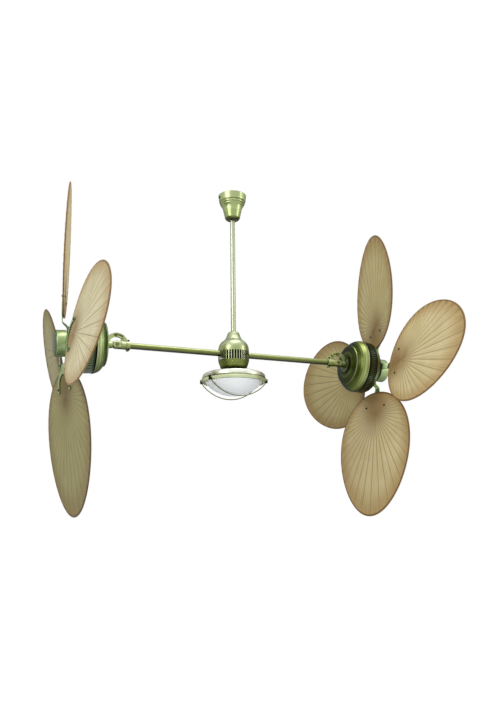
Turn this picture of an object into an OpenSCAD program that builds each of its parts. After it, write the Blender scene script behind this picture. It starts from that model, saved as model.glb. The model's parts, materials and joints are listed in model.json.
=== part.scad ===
// Twin head ceiling fan: one canopy and down rod carry a hub with a light under it, and two
// opposite arms each carry a tilting motor head with four pleated palm-leaf blades.
// The frame: origin on the ceiling, +Z up, the arms along X, +X towards the right head.

/* [Whole fan] */
// Ceiling to the centre line of the arms
arm_drop = 726; // [600:1:1200]
// Hub axis to each tilt pivot, along the arm
pivot_reach = 500; // [480:5:700]
// How far the left head droops below level at rest, in degrees
left_droop = 3.3; // [0:0.1:20]
// How far the right head droops below level at rest, in degrees
right_droop = 4.7; // [0:0.1:20]
// Turn of each set of blades at rest, in degrees
blade_phase = -1.6; // [-45:0.1:45]
// Radial gap round shafts, pins and tubes in their bores
fit_gap = 0.05; // [0.02:0.01:0.1]
// Gap between faces that pass each other
face_gap = 0.3; // [0.1:0.05:0.5]

/* [Ceiling bracket] */
// Distance between the two slotted screw holes
bracket_hole_spacing = 88.9; // [80:0.1:92]
// Length of the bracket bar
bracket_length = 110; // [106:1:112]
// Width of the bracket bar
bracket_width = 34; // [26:1:40]
// Sheet thickness of the bracket
bracket_sheet = 3; // [2:0.5:4]
// Width of each slotted screw hole
bracket_slot_width = 5; // [4.5:0.1:6]
// End-to-end length of each slotted screw hole
bracket_slot_length = 12; // [10:1:14]
// Radius of the hanger ball
ball_radius = 22; // [20:0.5:24]
// Depth of the ball's centre below the ceiling
ball_depth = 36; // [32:1:40]

/* [Canopy] */
// Outer radius of the canopy's rim
canopy_rim_radius = 61.6; // [60:0.1:64]
// Outer radius of the canopy's bead
canopy_bead_radius = 55; // [54:0.1:57]
// Outer radius where the shoulder meets the cup
canopy_shoulder_radius = 41.2; // [39:0.1:43]
// Outer radius at the cup's lower end
canopy_cup_radius = 34.4; // [33:0.1:36]
// Height of the whole canopy
canopy_height = 117.2; // [114:0.1:140]
// Height of the slightly tapered band under the rim
canopy_band_height = 29.5; // [28:0.5:31]
// Sheet thickness of the canopy
canopy_sheet = 1.5; // [1:0.1:2]
// Gap left between the canopy's rim and the ceiling
canopy_gap = 1; // [0.5:0.5:3]

/* [Down rod] */
// Outer diameter of the down rod
rod_diameter = 21.3; // [19:0.1:23]
// Wall of the down rod
rod_wall = 2; // [1.5:0.1:3]
// Outer radius of the ferrule where the rod leaves the canopy
ferrule_radius = 12.6; // [12:0.1:14]
// Height of the ferrule
ferrule_height = 11; // [8:1:16]
// Radius of the clevis pins
clevis_pin_radius = 3; // [2.5:0.1:3.5]

/* [Hub] */
// Greatest outer radius of the hub covers
hub_radius = 65.3; // [63:0.1:70]
// Height of the upper cover's top above the arm line
hub_top = 98; // [96:1:106]
// Top of the vent band, above the arm line
vent_top = 8; // [6:1:10]
// Height of the vent band
vent_height = 39; // [36:1:41]
// Number of slots round the vent band
vent_slots = 36; // [24:2:44]
// Width of one vent slot
vent_slot_width = 7.4; // [4:0.1:8]
// Depth of the lower cover's bottom below the arm line
hub_bottom = 66; // [65:0.5:72]
// Outer radius of the lower cover where its bottom edge starts to round in
hub_bottom_radius = 56.9; // [52:0.1:58]
// Sheet thickness of the hub covers
hub_sheet = 1.6; // [1:0.1:2]

/* [Arms] */
// Outer diameter of the arm tubes
arm_diameter = 25.4; // [24:0.1:28]
// Wall of the arm tubes
arm_wall = 2; // [1.5:0.1:3]
// Half length of the cross barrel that the arms plug into
barrel_reach = 54; // [48:1:58]
// Outer radius of that barrel
barrel_radius = 18; // [17:0.5:20]

/* [Light] */
// Outer radius of the lamp pan's side
pan_radius = 133.2; // [126:0.1:134]
// Height of the lamp pan
pan_height = 39; // [38:0.5:50]
// Sheet thickness of the lamp pan
pan_sheet = 1.2; // [1:0.1:2]
// Outer radius of the retaining ring's lip
ring_radius = 139.6; // [139:0.1:146]
// Height of the retaining ring
ring_height = 17; // [17:0.5:24]
// Radius of the glass bowl's rim
glass_radius = 125; // [112:0.5:126]
// Depth of the glass bowl below its rim
glass_depth = 58; // [44:0.5:66]
// Thickness of the glass
glass_wall = 3; // [2:0.5:4]
// Diameter of the two guard wires
wire_diameter = 4; // [3:0.1:5]
// Distance of each guard wire from the middle
wire_offset = 55; // [40:1:60]
// Depth of the guard wires below the lowest point of the glass
wire_clearance = 6.5; // [4:0.5:20]

/* [Tilt knuckle] */
// Outer radius of the fork barrel
fork_radius = 17; // [16.5:0.1:18]
// Outer radius of the clamp collar on the arm
collar_radius = 19.3; // [18:0.1:19.6]
// Length of the clamp collar
collar_length = 14; // [12:1:16]
// Pivot to the outer end of the arm tube
arm_end_gap = 22; // [21:0.5:26]
// Radius of the pivot bolt
pivot_bolt_radius = 4; // [3.5:0.1:5]
// Thickness of the tongue between the fork's cheeks
tongue_thickness = 13; // [12:0.5:15]
// Mean radius of the two slotted sectors
sector_radius = 40.5; // [39:0.1:42]
// Radial width of the sectors
sector_width = 17; // [15:0.1:17.2]
// Thickness of each sector plate
sector_thickness = 5; // [4:0.5:6]
// Radius of the locking screw
lock_screw_radius = 3; // [2.5:0.1:3.4]
// Place of the locking screw round the pivot, in degrees above the arm
lock_angle = 85; // [80:1:87]
// Tilt above level that the slot allows, in degrees
tilt_up = 6; // [2:1:7]
// Tilt below level that the slot allows, in degrees
tilt_down = 40; // [25:1:42]

/* [Motor head] */
// Pivot to the back of the motor, along the head's axis
motor_back = 43; // [42:0.5:46]
// Radius of the bead round the motor's back
back_bead_radius = 87.6; // [80:0.1:92]
// Greatest radius of the motor housing
motor_radius = 116.7; // [112:0.1:124]
// Length of the back shell
back_shell_length = 57; // [52:1:62]
// Length of the vented ring
vent_ring_length = 40; // [36:1:44]
// Length of the front shell
front_shell_length = 35; // [32:1:40]
// Sheet thickness of the motor shells
motor_sheet = 1.8; // [1.5:0.1:3]
// Number of slots round the vented ring
motor_slots = 80; // [60:4:84]
// Length of one slot of the vented ring
motor_slot_length = 20; // [16:1:22]
// Width of one slot of the vented ring
motor_slot_width = 4; // [3:0.1:4.5]
// Radius of the motor shaft
shaft_radius = 8; // [7:0.5:9]
// Outer radius of the bearings
bearing_radius = 16; // [14:0.5:18]
// Width of the bearings
bearing_width = 9; // [8:0.5:11]
// Outer radius of the rotor core
rotor_core_radius = 61; // [56:0.5:64]
// Air gap between rotor and stator
air_gap = 0.6; // [0.5:0.1:1]

/* [Blade hub] */
// Radius of the flywheel that the blade irons are screwed to
flywheel_radius = 66; // [62:0.5:70]
// Thickness of the flywheel
flywheel_thickness = 8; // [6:0.5:9]
// Gap between the motor's front and the flywheel
flywheel_gap = 7; // [5:0.5:9]
// Outer radius of the hub cap
cap_radius = 52; // [48:0.5:56]
// Length of the hub cap
cap_length = 41; // [36:1:50]
// Sheet thickness of the hub cap
cap_sheet = 2; // [1.5:0.1:3]

/* [Blades] */
// Radius of the circle that the blade tips run on
blade_tip_radius = 660; // [600:5:680]
// Length of a blade from root to tip
blade_length = 555.5; // [500:0.5:560]
// Greatest width of a blade
blade_width = 432; // [380:1:450]
// How much wider the root half is than the tip half
blade_egg = 0.127; // [0:0.001:0.2]
// Pitch of the blades, in degrees
blade_pitch = 11; // [8:0.1:14]
// Flywheel's front to the plane of the blades, on the motor's axis
blade_rise = 22.3; // [19:0.1:25]
// Sweep of the blades back towards the motor, in degrees
blade_sweep = 3.4; // [2:0.1:5]
// Thickness of the pleated leaf
leaf_thickness = 3.6; // [3:0.1:5]
// Thickness of the bound edge
edge_thickness = 5.2; // [4:0.1:6]
// Width of the bound edge
edge_width = 9; // [6:0.5:12]
// Number of pleats round a leaf
pleats = 48; // [36:4:56]
// Height of a pleat from valley to ridge
pleat_height = 3.2; // [2:0.1:4]
// Distance from the fan's axis to the point that the pleats spread from
pleat_centre = 205; // [190:1:230]
// Radius of the unpleated patch round that point
pleat_start = 26; // [16:1:40]
// Pitch-plane distance from the motor axis to the blade screws
blade_screw_reach = 174; // [168:1:180]
// Half the distance between a blade's two screws
blade_screw_offset = 57; // [50:0.5:62]
// Radius of the blade screws
blade_screw_radius = 2.4; // [2:0.1:3]
// Thickness of the blade irons
iron_thickness = 3; // [2.5:0.1:4]
// Width of a prong of the blade irons
prong_width = 17; // [14:0.5:20]
// Width of the iron's foot and neck
neck_width = 32; // [26:1:38]

/* [Hidden] */
$fn = 96;
left = -1;
right = 1;

// Colours
brass_colour = [0.55, 0.53, 0.33];
dark_brass_colour = [0.20, 0.20, 0.12];
steel_colour = [0.62, 0.63, 0.65];
copper_colour = [0.72, 0.42, 0.22];
leaf_colour = [0.76, 0.67, 0.49];
glass_colour = [0.86, 0.88, 0.88, 0.8];
ceramic_colour = [0.93, 0.92, 0.88];

// Ceiling parts
rod_radius = rod_diameter / 2;
rod_bore = rod_radius + fit_gap;
ball_centre_z = -ball_depth;
ball_bore_top = 9;
ball_bottom = 16;
socket_radius = ball_radius + 8;
socket_height = 15;
socket_bottom_z = ball_centre_z - socket_height;
tab_drop = 22;
canopy_top_z = -canopy_gap;
canopy_bottom_z = canopy_top_z - canopy_height;
canopy_screw_z = canopy_top_z - canopy_band_height / 2;
canopy_hole_radius = rod_radius + 3;
canopy_band_taper = 3.6;
screw_radius = 2;

// Hub parts, as heights above the arm line
arm_radius = arm_diameter / 2;
arm_bore = arm_radius + fit_gap;
arm_z = -arm_drop;
vent_bottom = vent_top - vent_height;
vent_margin = 3;
neck_top = 62;
neck_radius = 16;
rod_foot = 22;
lower_pin_height = 46;
junction_core = 21;
junction_bottom = -34;
nipple_radius = 6.5;
nipple_nut_radius = 12;
nipple_nut_height = 6;
arm_start = 16;
barrel_screw_reach = 40;

// Light parts, as heights above the arm line
pan_top = -hub_bottom - face_gap;
pan_bottom = pan_top - pan_height;
ring_top = pan_bottom - face_gap;
ring_bottom = ring_top - ring_height;
ring_inner_radius = glass_radius - 4;
glass_rim_height = 5;
glass_rim_z = ring_bottom + 3 + glass_rim_height;
glass_bottom = ring_bottom - glass_depth + 3;
glass_sphere = (pow(ring_inner_radius - face_gap, 2) + pow(glass_depth, 2)) / (2 * glass_depth);
wire_radius = wire_diameter / 2;
wire_span = sqrt(pow(ring_radius - 6, 2) - pow(wire_offset, 2));
wire_top = ring_bottom - wire_radius - fit_gap;
clip_width = 8;
clip_height = 16;
wire_sag = wire_top - (glass_bottom - wire_clearance);
wire_arc = (pow(wire_span, 2) + pow(wire_sag, 2)) / (2 * wire_sag);
wire_half_angle = asin(wire_span / wire_arc);
lamp_z = pan_bottom - 4;
lamp_bar_half = 16;
holder_neck_radius = 11;
holder_radius = 17;
holder_start = 22;
holder_end = 50;
bulb_start = 26;
bulb_base_radius = 13.2;
bulb_neck_radius = 15;
bulb_neck = 5;
bulb_radius = 21;
bulb_middle = 74;

// Knuckle, from the pivot outwards
cheek_inner = tongue_thickness / 2 + fit_gap;
cheek_outer = 14;
sector_inner = sector_radius - sector_width / 2;
sector_outer = sector_radius + sector_width / 2;
slot_half_width = lock_screw_radius + face_gap;
sector_end_angle = 10;
lock_head_radius = 5.4;
lock_head_height = 5;
lock_nut_height = 4;
lock_head_face = sector_thickness + 2 * face_gap;
lock_nut_face = -sector_thickness - face_gap;
sector_chamfer = 5;
slot_end_radius = slot_half_width - 0.05;
tongue_radius = fork_radius - 2;
tongue_half_height = tongue_radius - 3;
stem_radius = 14;
flange_radius = 35;
flange_thickness = 5;
flange_back = motor_back - flange_thickness;
collar_start = -arm_end_gap - 30;
sector_root_angle = 150;
stem_sector_angle = 18;
ear_height = 17.5;
ear_bolt_radius = 2.5;
ear_head_radius = 4.2;
ear_radius = 6;
ear_half_width = 7;

// Motor, from the pivot outwards
back_shell_end = motor_back + back_shell_length;
vent_ring_end = back_shell_end + vent_ring_length;
motor_front = vent_ring_end + front_shell_length;
ring_seam = 2;
vent_ring_radius = motor_radius - 1.7;
vent_ring_wall = 3;
wall_thickness = 2.2;
boss_radius = bearing_radius + 4;
back_bearing_start = motor_back + wall_thickness + 3;
front_bearing_start = motor_front - wall_thickness - 3 - bearing_width;
shaft_hole_radius = shaft_radius + 1.5;
stator_radius = 94;
stator_bore = rotor_core_radius + air_gap;
core_middle = (back_shell_end + vent_ring_end) / 2;
core_half_length = 10;
winding_length = 11;
flywheel_back = motor_front + flywheel_gap;
flywheel_front = flywheel_back + flywheel_thickness;
boss_front = flywheel_front + 9;
cap_back = flywheel_front + 12;
cap_front = cap_back + cap_length;
shaft_end = boss_front + 6;
hub_boss_radius = 22;
iron_foot_inner = 36;
iron_foot_outer = 62;

// Blades, in the plane of the leaf
blade_plane = flywheel_front + blade_rise;
blade_root = blade_tip_radius - blade_length;
root_to_screws = 40;
root_to_pleats = 70;
screw_place = max(blade_screw_reach, blade_root + root_to_screws);
pleat_place = max(pleat_centre, blade_root + root_to_pleats);
leaf_half = leaf_thickness / 2;
pleat_half = pleat_height / 2;
iron_seat = leaf_half + pleat_half + fit_gap;
prong_end = screw_place + 16;
fork_outer = blade_screw_offset + prong_width / 2;
fork_inner = blade_screw_offset - prong_width / 2;
fork_middle = screw_place - 6;
neck_end = fork_middle - fork_outer + 5;
neck_climb = 0.6;
neck_waist = 3;
neck_steps = 10;

// Placing
module at_hub() { translate([0, 0, arm_z]) children(); }

module at_pivot(side) {
    translate([side * pivot_reach, 0, arm_z]) rotate([0, 0, side < 0 ? 180 : 0]) children();
}

module at_head(side) {
    at_pivot(side) rotate([0, side < 0 ? left_droop : right_droop, 0]) children();
}

module at_blade(side, index) {
    at_head(side)
        translate([blade_plane, 0, 0])
            rotate([blade_phase + 90 * index, 0, 0])
                rotate([0, -blade_sweep, 0])
                    rotate([0, 0, -blade_pitch])
                        children();
}

// Shapes
// Turns a profile of [radius, distance] points round the X axis
module turn_x(points) { rotate([0, 90, 0]) rotate_extrude() polygon(points); }

// Turns a profile of [radius, height] points round the Z axis
module turn_z(points) { rotate_extrude() polygon(points); }

module rod_x(radius, start, end) { translate([start, 0, 0]) rotate([0, 90, 0]) cylinder(r = radius, h = end - start); }

module rod_y(radius, start, end) { translate([0, start, 0]) rotate([-90, 0, 0]) cylinder(r = radius, h = end - start); }

module tube_x(outer, inner, start, end) {
    difference() {
        rod_x(outer, start, end);
        rod_x(inner, start - 1, end + 1);
    }
}

module tube_z(outer, inner, start, end) {
    translate([0, 0, start])
        difference() {
            cylinder(r = outer, h = end - start);
            translate([0, 0, -1]) cylinder(r = inner, h = end - start + 2);
        }
}

// A closed sheet profile: the outer points, then the same points moved in by the sheet
function sheet(outer, inset) = concat(outer, [for (i = [len(outer) - 1:-1:0]) outer[i] - inset[i]]);

// Points on an arc of a circle, from one angle to another
function arc(centre, radius, from, to, steps) = [
    for (i = [0:steps]) centre + radius * [cos(from + (to - from) * i / steps), sin(from + (to - from) * i / steps)]
];

// Ceiling bracket: a slotted bar with turned-down tabs and an open socket for the ball
module hanger_bracket() {
    color(steel_colour)
        difference() {
            union() {
                translate([-bracket_length / 2, -bracket_width / 2, -bracket_sheet])
                    cube([bracket_length, bracket_width, bracket_sheet]);
                for (side = [left, right]) {
                    translate([side * (bracket_length - bracket_sheet) / 2 - bracket_sheet / 2, -8, -tab_drop])
                        cube([bracket_sheet, 16, tab_drop]);
                    translate([side * (socket_radius - bracket_sheet) - bracket_sheet / 2, -9, socket_bottom_z])
                        cube([bracket_sheet, 18, -socket_bottom_z]);
                }
                translate([0, 0, socket_bottom_z]) cylinder(r = socket_radius, h = socket_height);
            }
            for (side = [left, right])
                translate([side * bracket_hole_spacing / 2, 0, 0]) bracket_slot();
            translate([0, 0, ball_centre_z]) sphere(r = ball_radius + fit_gap);
            translate([0, 0, socket_bottom_z - 1]) cylinder(r = rod_radius + 3, h = socket_height);
            translate([-rod_radius - 3, 0, socket_bottom_z - 1])
                cube([2 * rod_radius + 6, socket_radius + 1, socket_height + 2]);
            translate([0, 0, canopy_screw_z])
                rod_x(screw_radius + fit_gap, -bracket_length, bracket_length);
        }
}

module bracket_slot() {
    run = (bracket_slot_length - bracket_slot_width) / 2;
    translate([-run, -bracket_slot_width / 2, -bracket_sheet - 1])
        cube([2 * run, bracket_slot_width, bracket_sheet + 2]);
    for (end = [-run, run])
        translate([end, 0, -bracket_sheet - 1])
            cylinder(r = bracket_slot_width / 2, h = bracket_sheet + 2);
}

module hanger_ball() {
    color(dark_brass_colour)
        translate([0, 0, ball_centre_z])
            difference() {
                intersection() {
                    sphere(r = ball_radius);
                    translate([0, 0, -ball_bottom]) cylinder(r = ball_radius, h = ball_bottom + ball_bore_top);
                }
                translate([0, 0, -ball_radius]) cylinder(r = rod_bore, h = 2 * ball_radius);
                rod_x(clevis_pin_radius + fit_gap, -ball_radius, ball_radius);
            }
}

module rod_pins() {
    upper_half = sqrt(pow(ball_radius, 2) - pow(clevis_pin_radius, 2)) - 1;
    color(steel_colour) {
        translate([0, 0, ball_centre_z]) rod_x(clevis_pin_radius, -upper_half, upper_half);
        at_hub() translate([0, 0, lower_pin_height]) rod_x(clevis_pin_radius, -neck_radius - 2, neck_radius + 2);
    }
}

// The canopy's outer profile: rim, band, bead, hollow shoulder, tapered cup and round bottom
function canopy_outer() = concat(
    [
        [canopy_rim_radius, canopy_top_z],
        [canopy_rim_radius, canopy_top_z - 3],
        [canopy_rim_radius - canopy_band_taper, canopy_top_z - canopy_band_height],
        [canopy_bead_radius - 1, canopy_top_z - canopy_band_height - 2.2]
    ],
    arc([canopy_bead_radius - 5, canopy_top_z - canopy_band_height - 8.2], 5, 50, -45, 8),
    [
        [canopy_bead_radius - 4.6, canopy_top_z - canopy_band_height - 14.4],
        [canopy_bead_radius - 4.8, canopy_top_z - canopy_band_height - 18],
        [canopy_shoulder_radius + 7.2, canopy_top_z - canopy_band_height - 20.5],
        [canopy_shoulder_radius + 4.6, canopy_top_z - canopy_band_height - 24.5],
        [canopy_shoulder_radius + 2.6, canopy_top_z - canopy_band_height - 29],
        [canopy_shoulder_radius + 1, canopy_top_z - canopy_band_height - 34],
        [canopy_shoulder_radius, canopy_top_z - canopy_band_height - 38.5],
        [canopy_cup_radius, canopy_bottom_z + 18.5]
    ],
    arc([canopy_cup_radius - 18, canopy_bottom_z + 18], 18, 0, -90, 12),
    [[canopy_hole_radius, canopy_bottom_z]]
);

// The same profile moved in by the sheet
function canopy_inner() = [
    for (i = [len(canopy_outer()) - 1:-1:0])
        let (p = canopy_outer()[i])
            [max(p[0] - canopy_sheet, canopy_hole_radius), p[1] < canopy_bottom_z + 10 ? p[1] + canopy_sheet : p[1]]
];

module canopy() {
    color(brass_colour)
        difference() {
            turn_z(concat(canopy_outer(), canopy_inner()));
            translate([0, 0, canopy_screw_z])
                rod_x(screw_radius + fit_gap, -canopy_rim_radius - 2, canopy_rim_radius + 2);
        }
}

module canopy_screws() {
    head_seat = canopy_rim_radius - canopy_band_taper / 2 + 0.8;
    tip = bracket_length / 2 - bracket_sheet - 2;
    color(brass_colour)
        translate([0, 0, canopy_screw_z])
            for (side = [left, right])
                rotate([0, 0, side < 0 ? 180 : 0]) {
                    rod_x(screw_radius, tip, head_seat);
                    rod_x(4.2, head_seat, head_seat + 2.4);
                }
}

module down_rod() {
    top_z = ball_centre_z + ball_bore_top;
    color(brass_colour)
        difference() {
            tube_z(rod_radius, rod_radius - rod_wall, arm_z + rod_foot, top_z);
            translate([0, 0, ball_centre_z]) rod_x(clevis_pin_radius + fit_gap, -rod_diameter, rod_diameter);
            at_hub() translate([0, 0, lower_pin_height])
                rod_x(clevis_pin_radius + fit_gap, -rod_diameter, rod_diameter);
        }
}

module rod_ferrule() {
    bottom_z = canopy_bottom_z - 5;
    color(brass_colour)
        turn_z([
            [rod_bore, bottom_z],
            [ferrule_radius - 0.8, bottom_z],
            [ferrule_radius, bottom_z + 1],
            [ferrule_radius, canopy_bottom_z - 1.5],
            [canopy_hole_radius + 2, canopy_bottom_z - fit_gap],
            [canopy_hole_radius - fit_gap, canopy_bottom_z - fit_gap],
            [canopy_hole_radius - fit_gap, bottom_z + ferrule_height],
            [rod_bore, bottom_z + ferrule_height]
        ]);
}

// The upper cover's outer profile, from the rod down to the vent band
function upper_outer() = concat(
    arc([rod_radius + 3.4, hub_top - 12], 12, 90, 15, 8),
    [
        [hub_radius - 37.9, hub_top - 14],
        [hub_radius - 36.3, hub_top - 19],
        [hub_radius - 34.4, hub_top - 23],
        [hub_radius - 32.6, hub_top - 27.6],
        [hub_radius - 29.8, hub_top - 32.4],
        [hub_radius - 25.6, hub_top - 37],
        [hub_radius - 20.6, hub_top - 41.4],
        [hub_radius - 15.4, hub_top - 45],
        [hub_radius - 11.4, hub_top - 49],
        [hub_radius - 8, hub_top - 53.6],
        [hub_radius - 5.2, hub_top - 58],
        [hub_radius - 3, hub_top - 63.4],
        [hub_radius - 1.2, hub_top - 70],
        [hub_radius - 0.2, hub_top - 78],
        [hub_radius, hub_top - 84],
        [hub_radius, vent_top + fit_gap]
    ]
);

module upper_cover() {
    outer = upper_outer();
    inner = [
        for (i = [len(outer) - 1:-1:0])
            [max(outer[i][0] - hub_sheet, rod_radius + face_gap),
             outer[i][1] > hub_top - 60 ? outer[i][1] - hub_sheet : outer[i][1]]
    ];
    color(brass_colour)
        at_hub()
            difference() {
                turn_z(concat([[rod_radius + face_gap, hub_top]], outer, inner,
                              [[rod_radius + face_gap, hub_top - hub_sheet]]));
                rod_x(arm_radius + face_gap, -hub_radius - 5, hub_radius + 5);
            }
}

module vent_band() {
    slot_height = vent_height - 2 * vent_margin;
    color(dark_brass_colour)
        at_hub()
            difference() {
                tube_z(hub_radius - 0.3, hub_radius - 0.3 - hub_sheet, vent_bottom, vent_top);
                for (i = [0:vent_slots - 1])
                    rotate([0, 0, (i + 0.5) * 360 / vent_slots])
                        translate([hub_radius - 6, -vent_slot_width / 2, vent_bottom + vent_margin])
                            cube([10, vent_slot_width, slot_height]);
                rod_x(arm_radius + face_gap, -hub_radius - 5, hub_radius + 5);
            }
}

function lower_outer() = [
    [hub_radius - 0.4, vent_bottom - fit_gap],
    [hub_radius - 1.7, vent_bottom - 4],
    [hub_radius - 3, vent_bottom - 8],
    [hub_radius - 4.6, vent_bottom - 13],
    [hub_bottom_radius + 1.8, -hub_bottom + 16.5],
    [hub_bottom_radius, -hub_bottom + 10.5],
    [hub_bottom_radius - 3.3, -hub_bottom + 6],
    [hub_bottom_radius - 8.4, -hub_bottom + 2.4],
    [hub_bottom_radius - 14.9, -hub_bottom + 0.6],
    [hub_bottom_radius - 20.9, -hub_bottom]
];

module lower_cover() {
    outer = lower_outer();
    inner = [
        for (i = [len(outer) - 1:-1:0])
            [outer[i][0] - hub_sheet, outer[i][1] < -hub_bottom + 8 ? outer[i][1] + hub_sheet : outer[i][1]]
    ];
    color(brass_colour)
        at_hub()
            turn_z(concat(outer, [[nipple_radius + fit_gap, -hub_bottom],
                                  [nipple_radius + fit_gap, -hub_bottom + hub_sheet]], inner));
}

// The casting inside the hub that joins the down rod, both arms and the light's nipple
module arm_junction() {
    color(steel_colour)
        at_hub()
            difference() {
                union() {
                    cylinder(r = neck_radius, h = neck_top);
                    sphere(r = junction_core + 2);
                    rod_x(barrel_radius, -barrel_reach, barrel_reach);
                    translate([0, 0, junction_bottom]) cylinder(r = 14, h = -junction_bottom);
                }
                translate([0, 0, rod_foot]) cylinder(r = rod_bore, h = neck_top);
                translate([0, 0, lower_pin_height])
                    rod_x(clevis_pin_radius + fit_gap, -neck_radius - 1, neck_radius + 1);
                rod_x(arm_bore, arm_start, barrel_reach + 1);
                rod_x(arm_bore, -barrel_reach - 1, -arm_start);
                rod_x(7, -arm_start - 1, arm_start + 1);
                cylinder(r = 7, h = neck_top);
                translate([0, 0, junction_bottom - 1]) cylinder(r = nipple_radius + fit_gap, h = 15);
                translate([0, 0, junction_bottom + 13]) cylinder(r = 4, h = -junction_bottom);
                for (side = [left, right])
                    translate([side * barrel_screw_reach, 0, 0])
                        cylinder(r = screw_radius + fit_gap, h = barrel_radius + 4);
            }
}

// Grub screws that hold the arms in the casting, and the bolts of both clamp collars
module hub_screws() {
    color(steel_colour) {
        at_hub()
            for (side = [left, right])
                translate([side * barrel_screw_reach, 0, arm_radius + fit_gap])
                    cylinder(r = screw_radius, h = barrel_radius - arm_radius + 1.5);
        for (side = [left, right])
            at_pivot(side)
                for (z = [-ear_height, ear_height])
                    translate([collar_start + collar_length / 2, 0, z]) {
                        rod_y(ear_bolt_radius, -ear_half_width, ear_half_width);
                        rod_y(ear_head_radius, -ear_half_width - 3, -ear_half_width);
                        rod_y(ear_head_radius, ear_half_width, ear_half_width + 3);
                    }
    }
}

module arm(side) {
    color(brass_colour)
        at_hub()
            rotate([0, 0, side < 0 ? 180 : 0])
                tube_x(arm_radius, arm_radius - arm_wall, arm_start + face_gap, pivot_reach - arm_end_gap);
}

// The threaded tube down through the hub and the lamp pan, with its nut and lamp bracket
module light_nipple() {
    top = junction_bottom + 12;
    nut_top = pan_top - pan_sheet - fit_gap;
    bar_z = lamp_z - 2;
    color(steel_colour)
        at_hub()
            difference() {
                union() {
                    translate([0, 0, bar_z]) cylinder(r = nipple_radius, h = top - bar_z);
                    translate([0, 0, nut_top - nipple_nut_height])
                        cylinder(r = nipple_nut_radius, h = nipple_nut_height);
                    translate([-lamp_bar_half, -11, bar_z]) cube([2 * lamp_bar_half, 22, 4]);
                }
                translate([0, 0, bar_z - 1]) cylinder(r = 4, h = top - bar_z + 2);
            }
}

function pan_outer() = [
    [nipple_radius + fit_gap, pan_top],
    [nipple_nut_radius + 4, pan_top],
    [46, pan_top - 4],
    [72, pan_top - 8.4],
    [pan_radius - 35, pan_top - 12.8],
    [pan_radius - 20, pan_top - 16],
    [pan_radius - 12, pan_top - 18.4],
    [pan_radius - 6, pan_top - 21.6],
    [pan_radius - 2.6, pan_top - 25.6],
    [pan_radius - 0.9, pan_top - 31],
    [pan_radius, pan_bottom]
];

module lamp_pan() {
    outer = pan_outer();
    inner = [
        for (i = [len(outer) - 1:-1:0])
            [i == 0 ? outer[i][0] : outer[i][0] - pan_sheet, i < len(outer) - 1 ? outer[i][1] - pan_sheet : outer[i][1]]
    ];
    color(brass_colour) at_hub() turn_z(concat(outer, inner));
}

module lamp_holders() {
    color(ceramic_colour)
        at_hub()
            translate([0, 0, lamp_z])
                for (side = [left, right])
                    rotate([0, 0, side < 0 ? 180 : 0])
                        difference() {
                            union() {
                                rod_x(holder_radius, holder_start, holder_end);
                                rod_x(holder_neck_radius, lamp_bar_half + fit_gap, holder_start);
                            }
                            rod_x(bulb_base_radius + face_gap, bulb_start, holder_end + 1);
                        }
}

module bulbs() {
    color(glass_colour)
        at_hub()
            translate([0, 0, lamp_z])
                for (side = [left, right])
                    rotate([0, 0, side < 0 ? 180 : 0])
                        turn_x(concat(
                            [[0, bulb_start], [bulb_base_radius, bulb_start], [bulb_base_radius, holder_end]],
                            [[bulb_neck_radius, holder_end + bulb_neck]],
                            arc([0, bulb_middle], bulb_radius, -30, 90, 12)
                        ));
}

// The ring's profile from its dark groove over the sharp lip to the bottom, moved out by a gap
function lip_profile(gap) = [
    [pan_radius - 1.5, ring_top],
    [pan_radius - 1.5, ring_top - 2.5 + gap],
    [pan_radius + 2, ring_top - 4 + gap],
    [ring_radius - 0.6, ring_top - 6.5 + gap],
    [ring_radius + gap, ring_top - 8],
    [ring_radius - 1.6 + gap, ring_top - 9.6],
    [ring_radius - 5.6 + gap, ring_bottom + 3.6],
    [ring_radius - 9.6 + gap, ring_bottom - gap]
];

// The ring under the pan that holds the glass
module retaining_ring() {
    color(brass_colour)
        at_hub()
            turn_z(concat(
                [[pan_radius - 9.6, ring_top]],
                lip_profile(0),
                [
                    [ring_inner_radius, ring_bottom],
                    [ring_inner_radius, ring_bottom + 3],
                    [glass_radius + face_gap, ring_bottom + 3],
                    [glass_radius + face_gap, ring_bottom + 9],
                    [pan_radius - 9.6, ring_bottom + 9]
                ]
            ));
}

module glass_bowl() {
    neck = ring_inner_radius - face_gap;
    rim_z = ring_bottom + 3;
    centre_z = glass_bottom + glass_sphere;
    span = asin(neck / glass_sphere);
    inner_sphere = glass_sphere - glass_wall;
    inner_span = asin((neck - glass_wall) / inner_sphere);
    color(glass_colour)
        at_hub()
            turn_z(concat(
                [[glass_radius, rim_z], [glass_radius, rim_z + glass_wall + 1]],
                [[neck - glass_wall, rim_z + glass_wall + 1]],
                arc([0, centre_z], inner_sphere, -90 + inner_span, -90, 16),
                arc([0, centre_z], glass_sphere, -90, -90 + span, 16),
                [[neck, rim_z]]
            ));
}

// Two bent wires under the glass, from lip to lip along the arms
module guard_wire_pair(radius) {
    centre_z = wire_top - wire_sag + wire_arc;
    for (y = [-wire_offset, wire_offset])
        translate([0, y, centre_z])
            rotate([90, 0, 0])
                rotate([0, 0, -90 - wire_half_angle])
                    rotate_extrude(angle = 2 * wire_half_angle)
                        translate([wire_arc, 0]) circle(r = radius, $fn = 24);
}

module guard_wires() {
    color(brass_colour) at_hub() guard_wire_pair(wire_radius);
}

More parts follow.
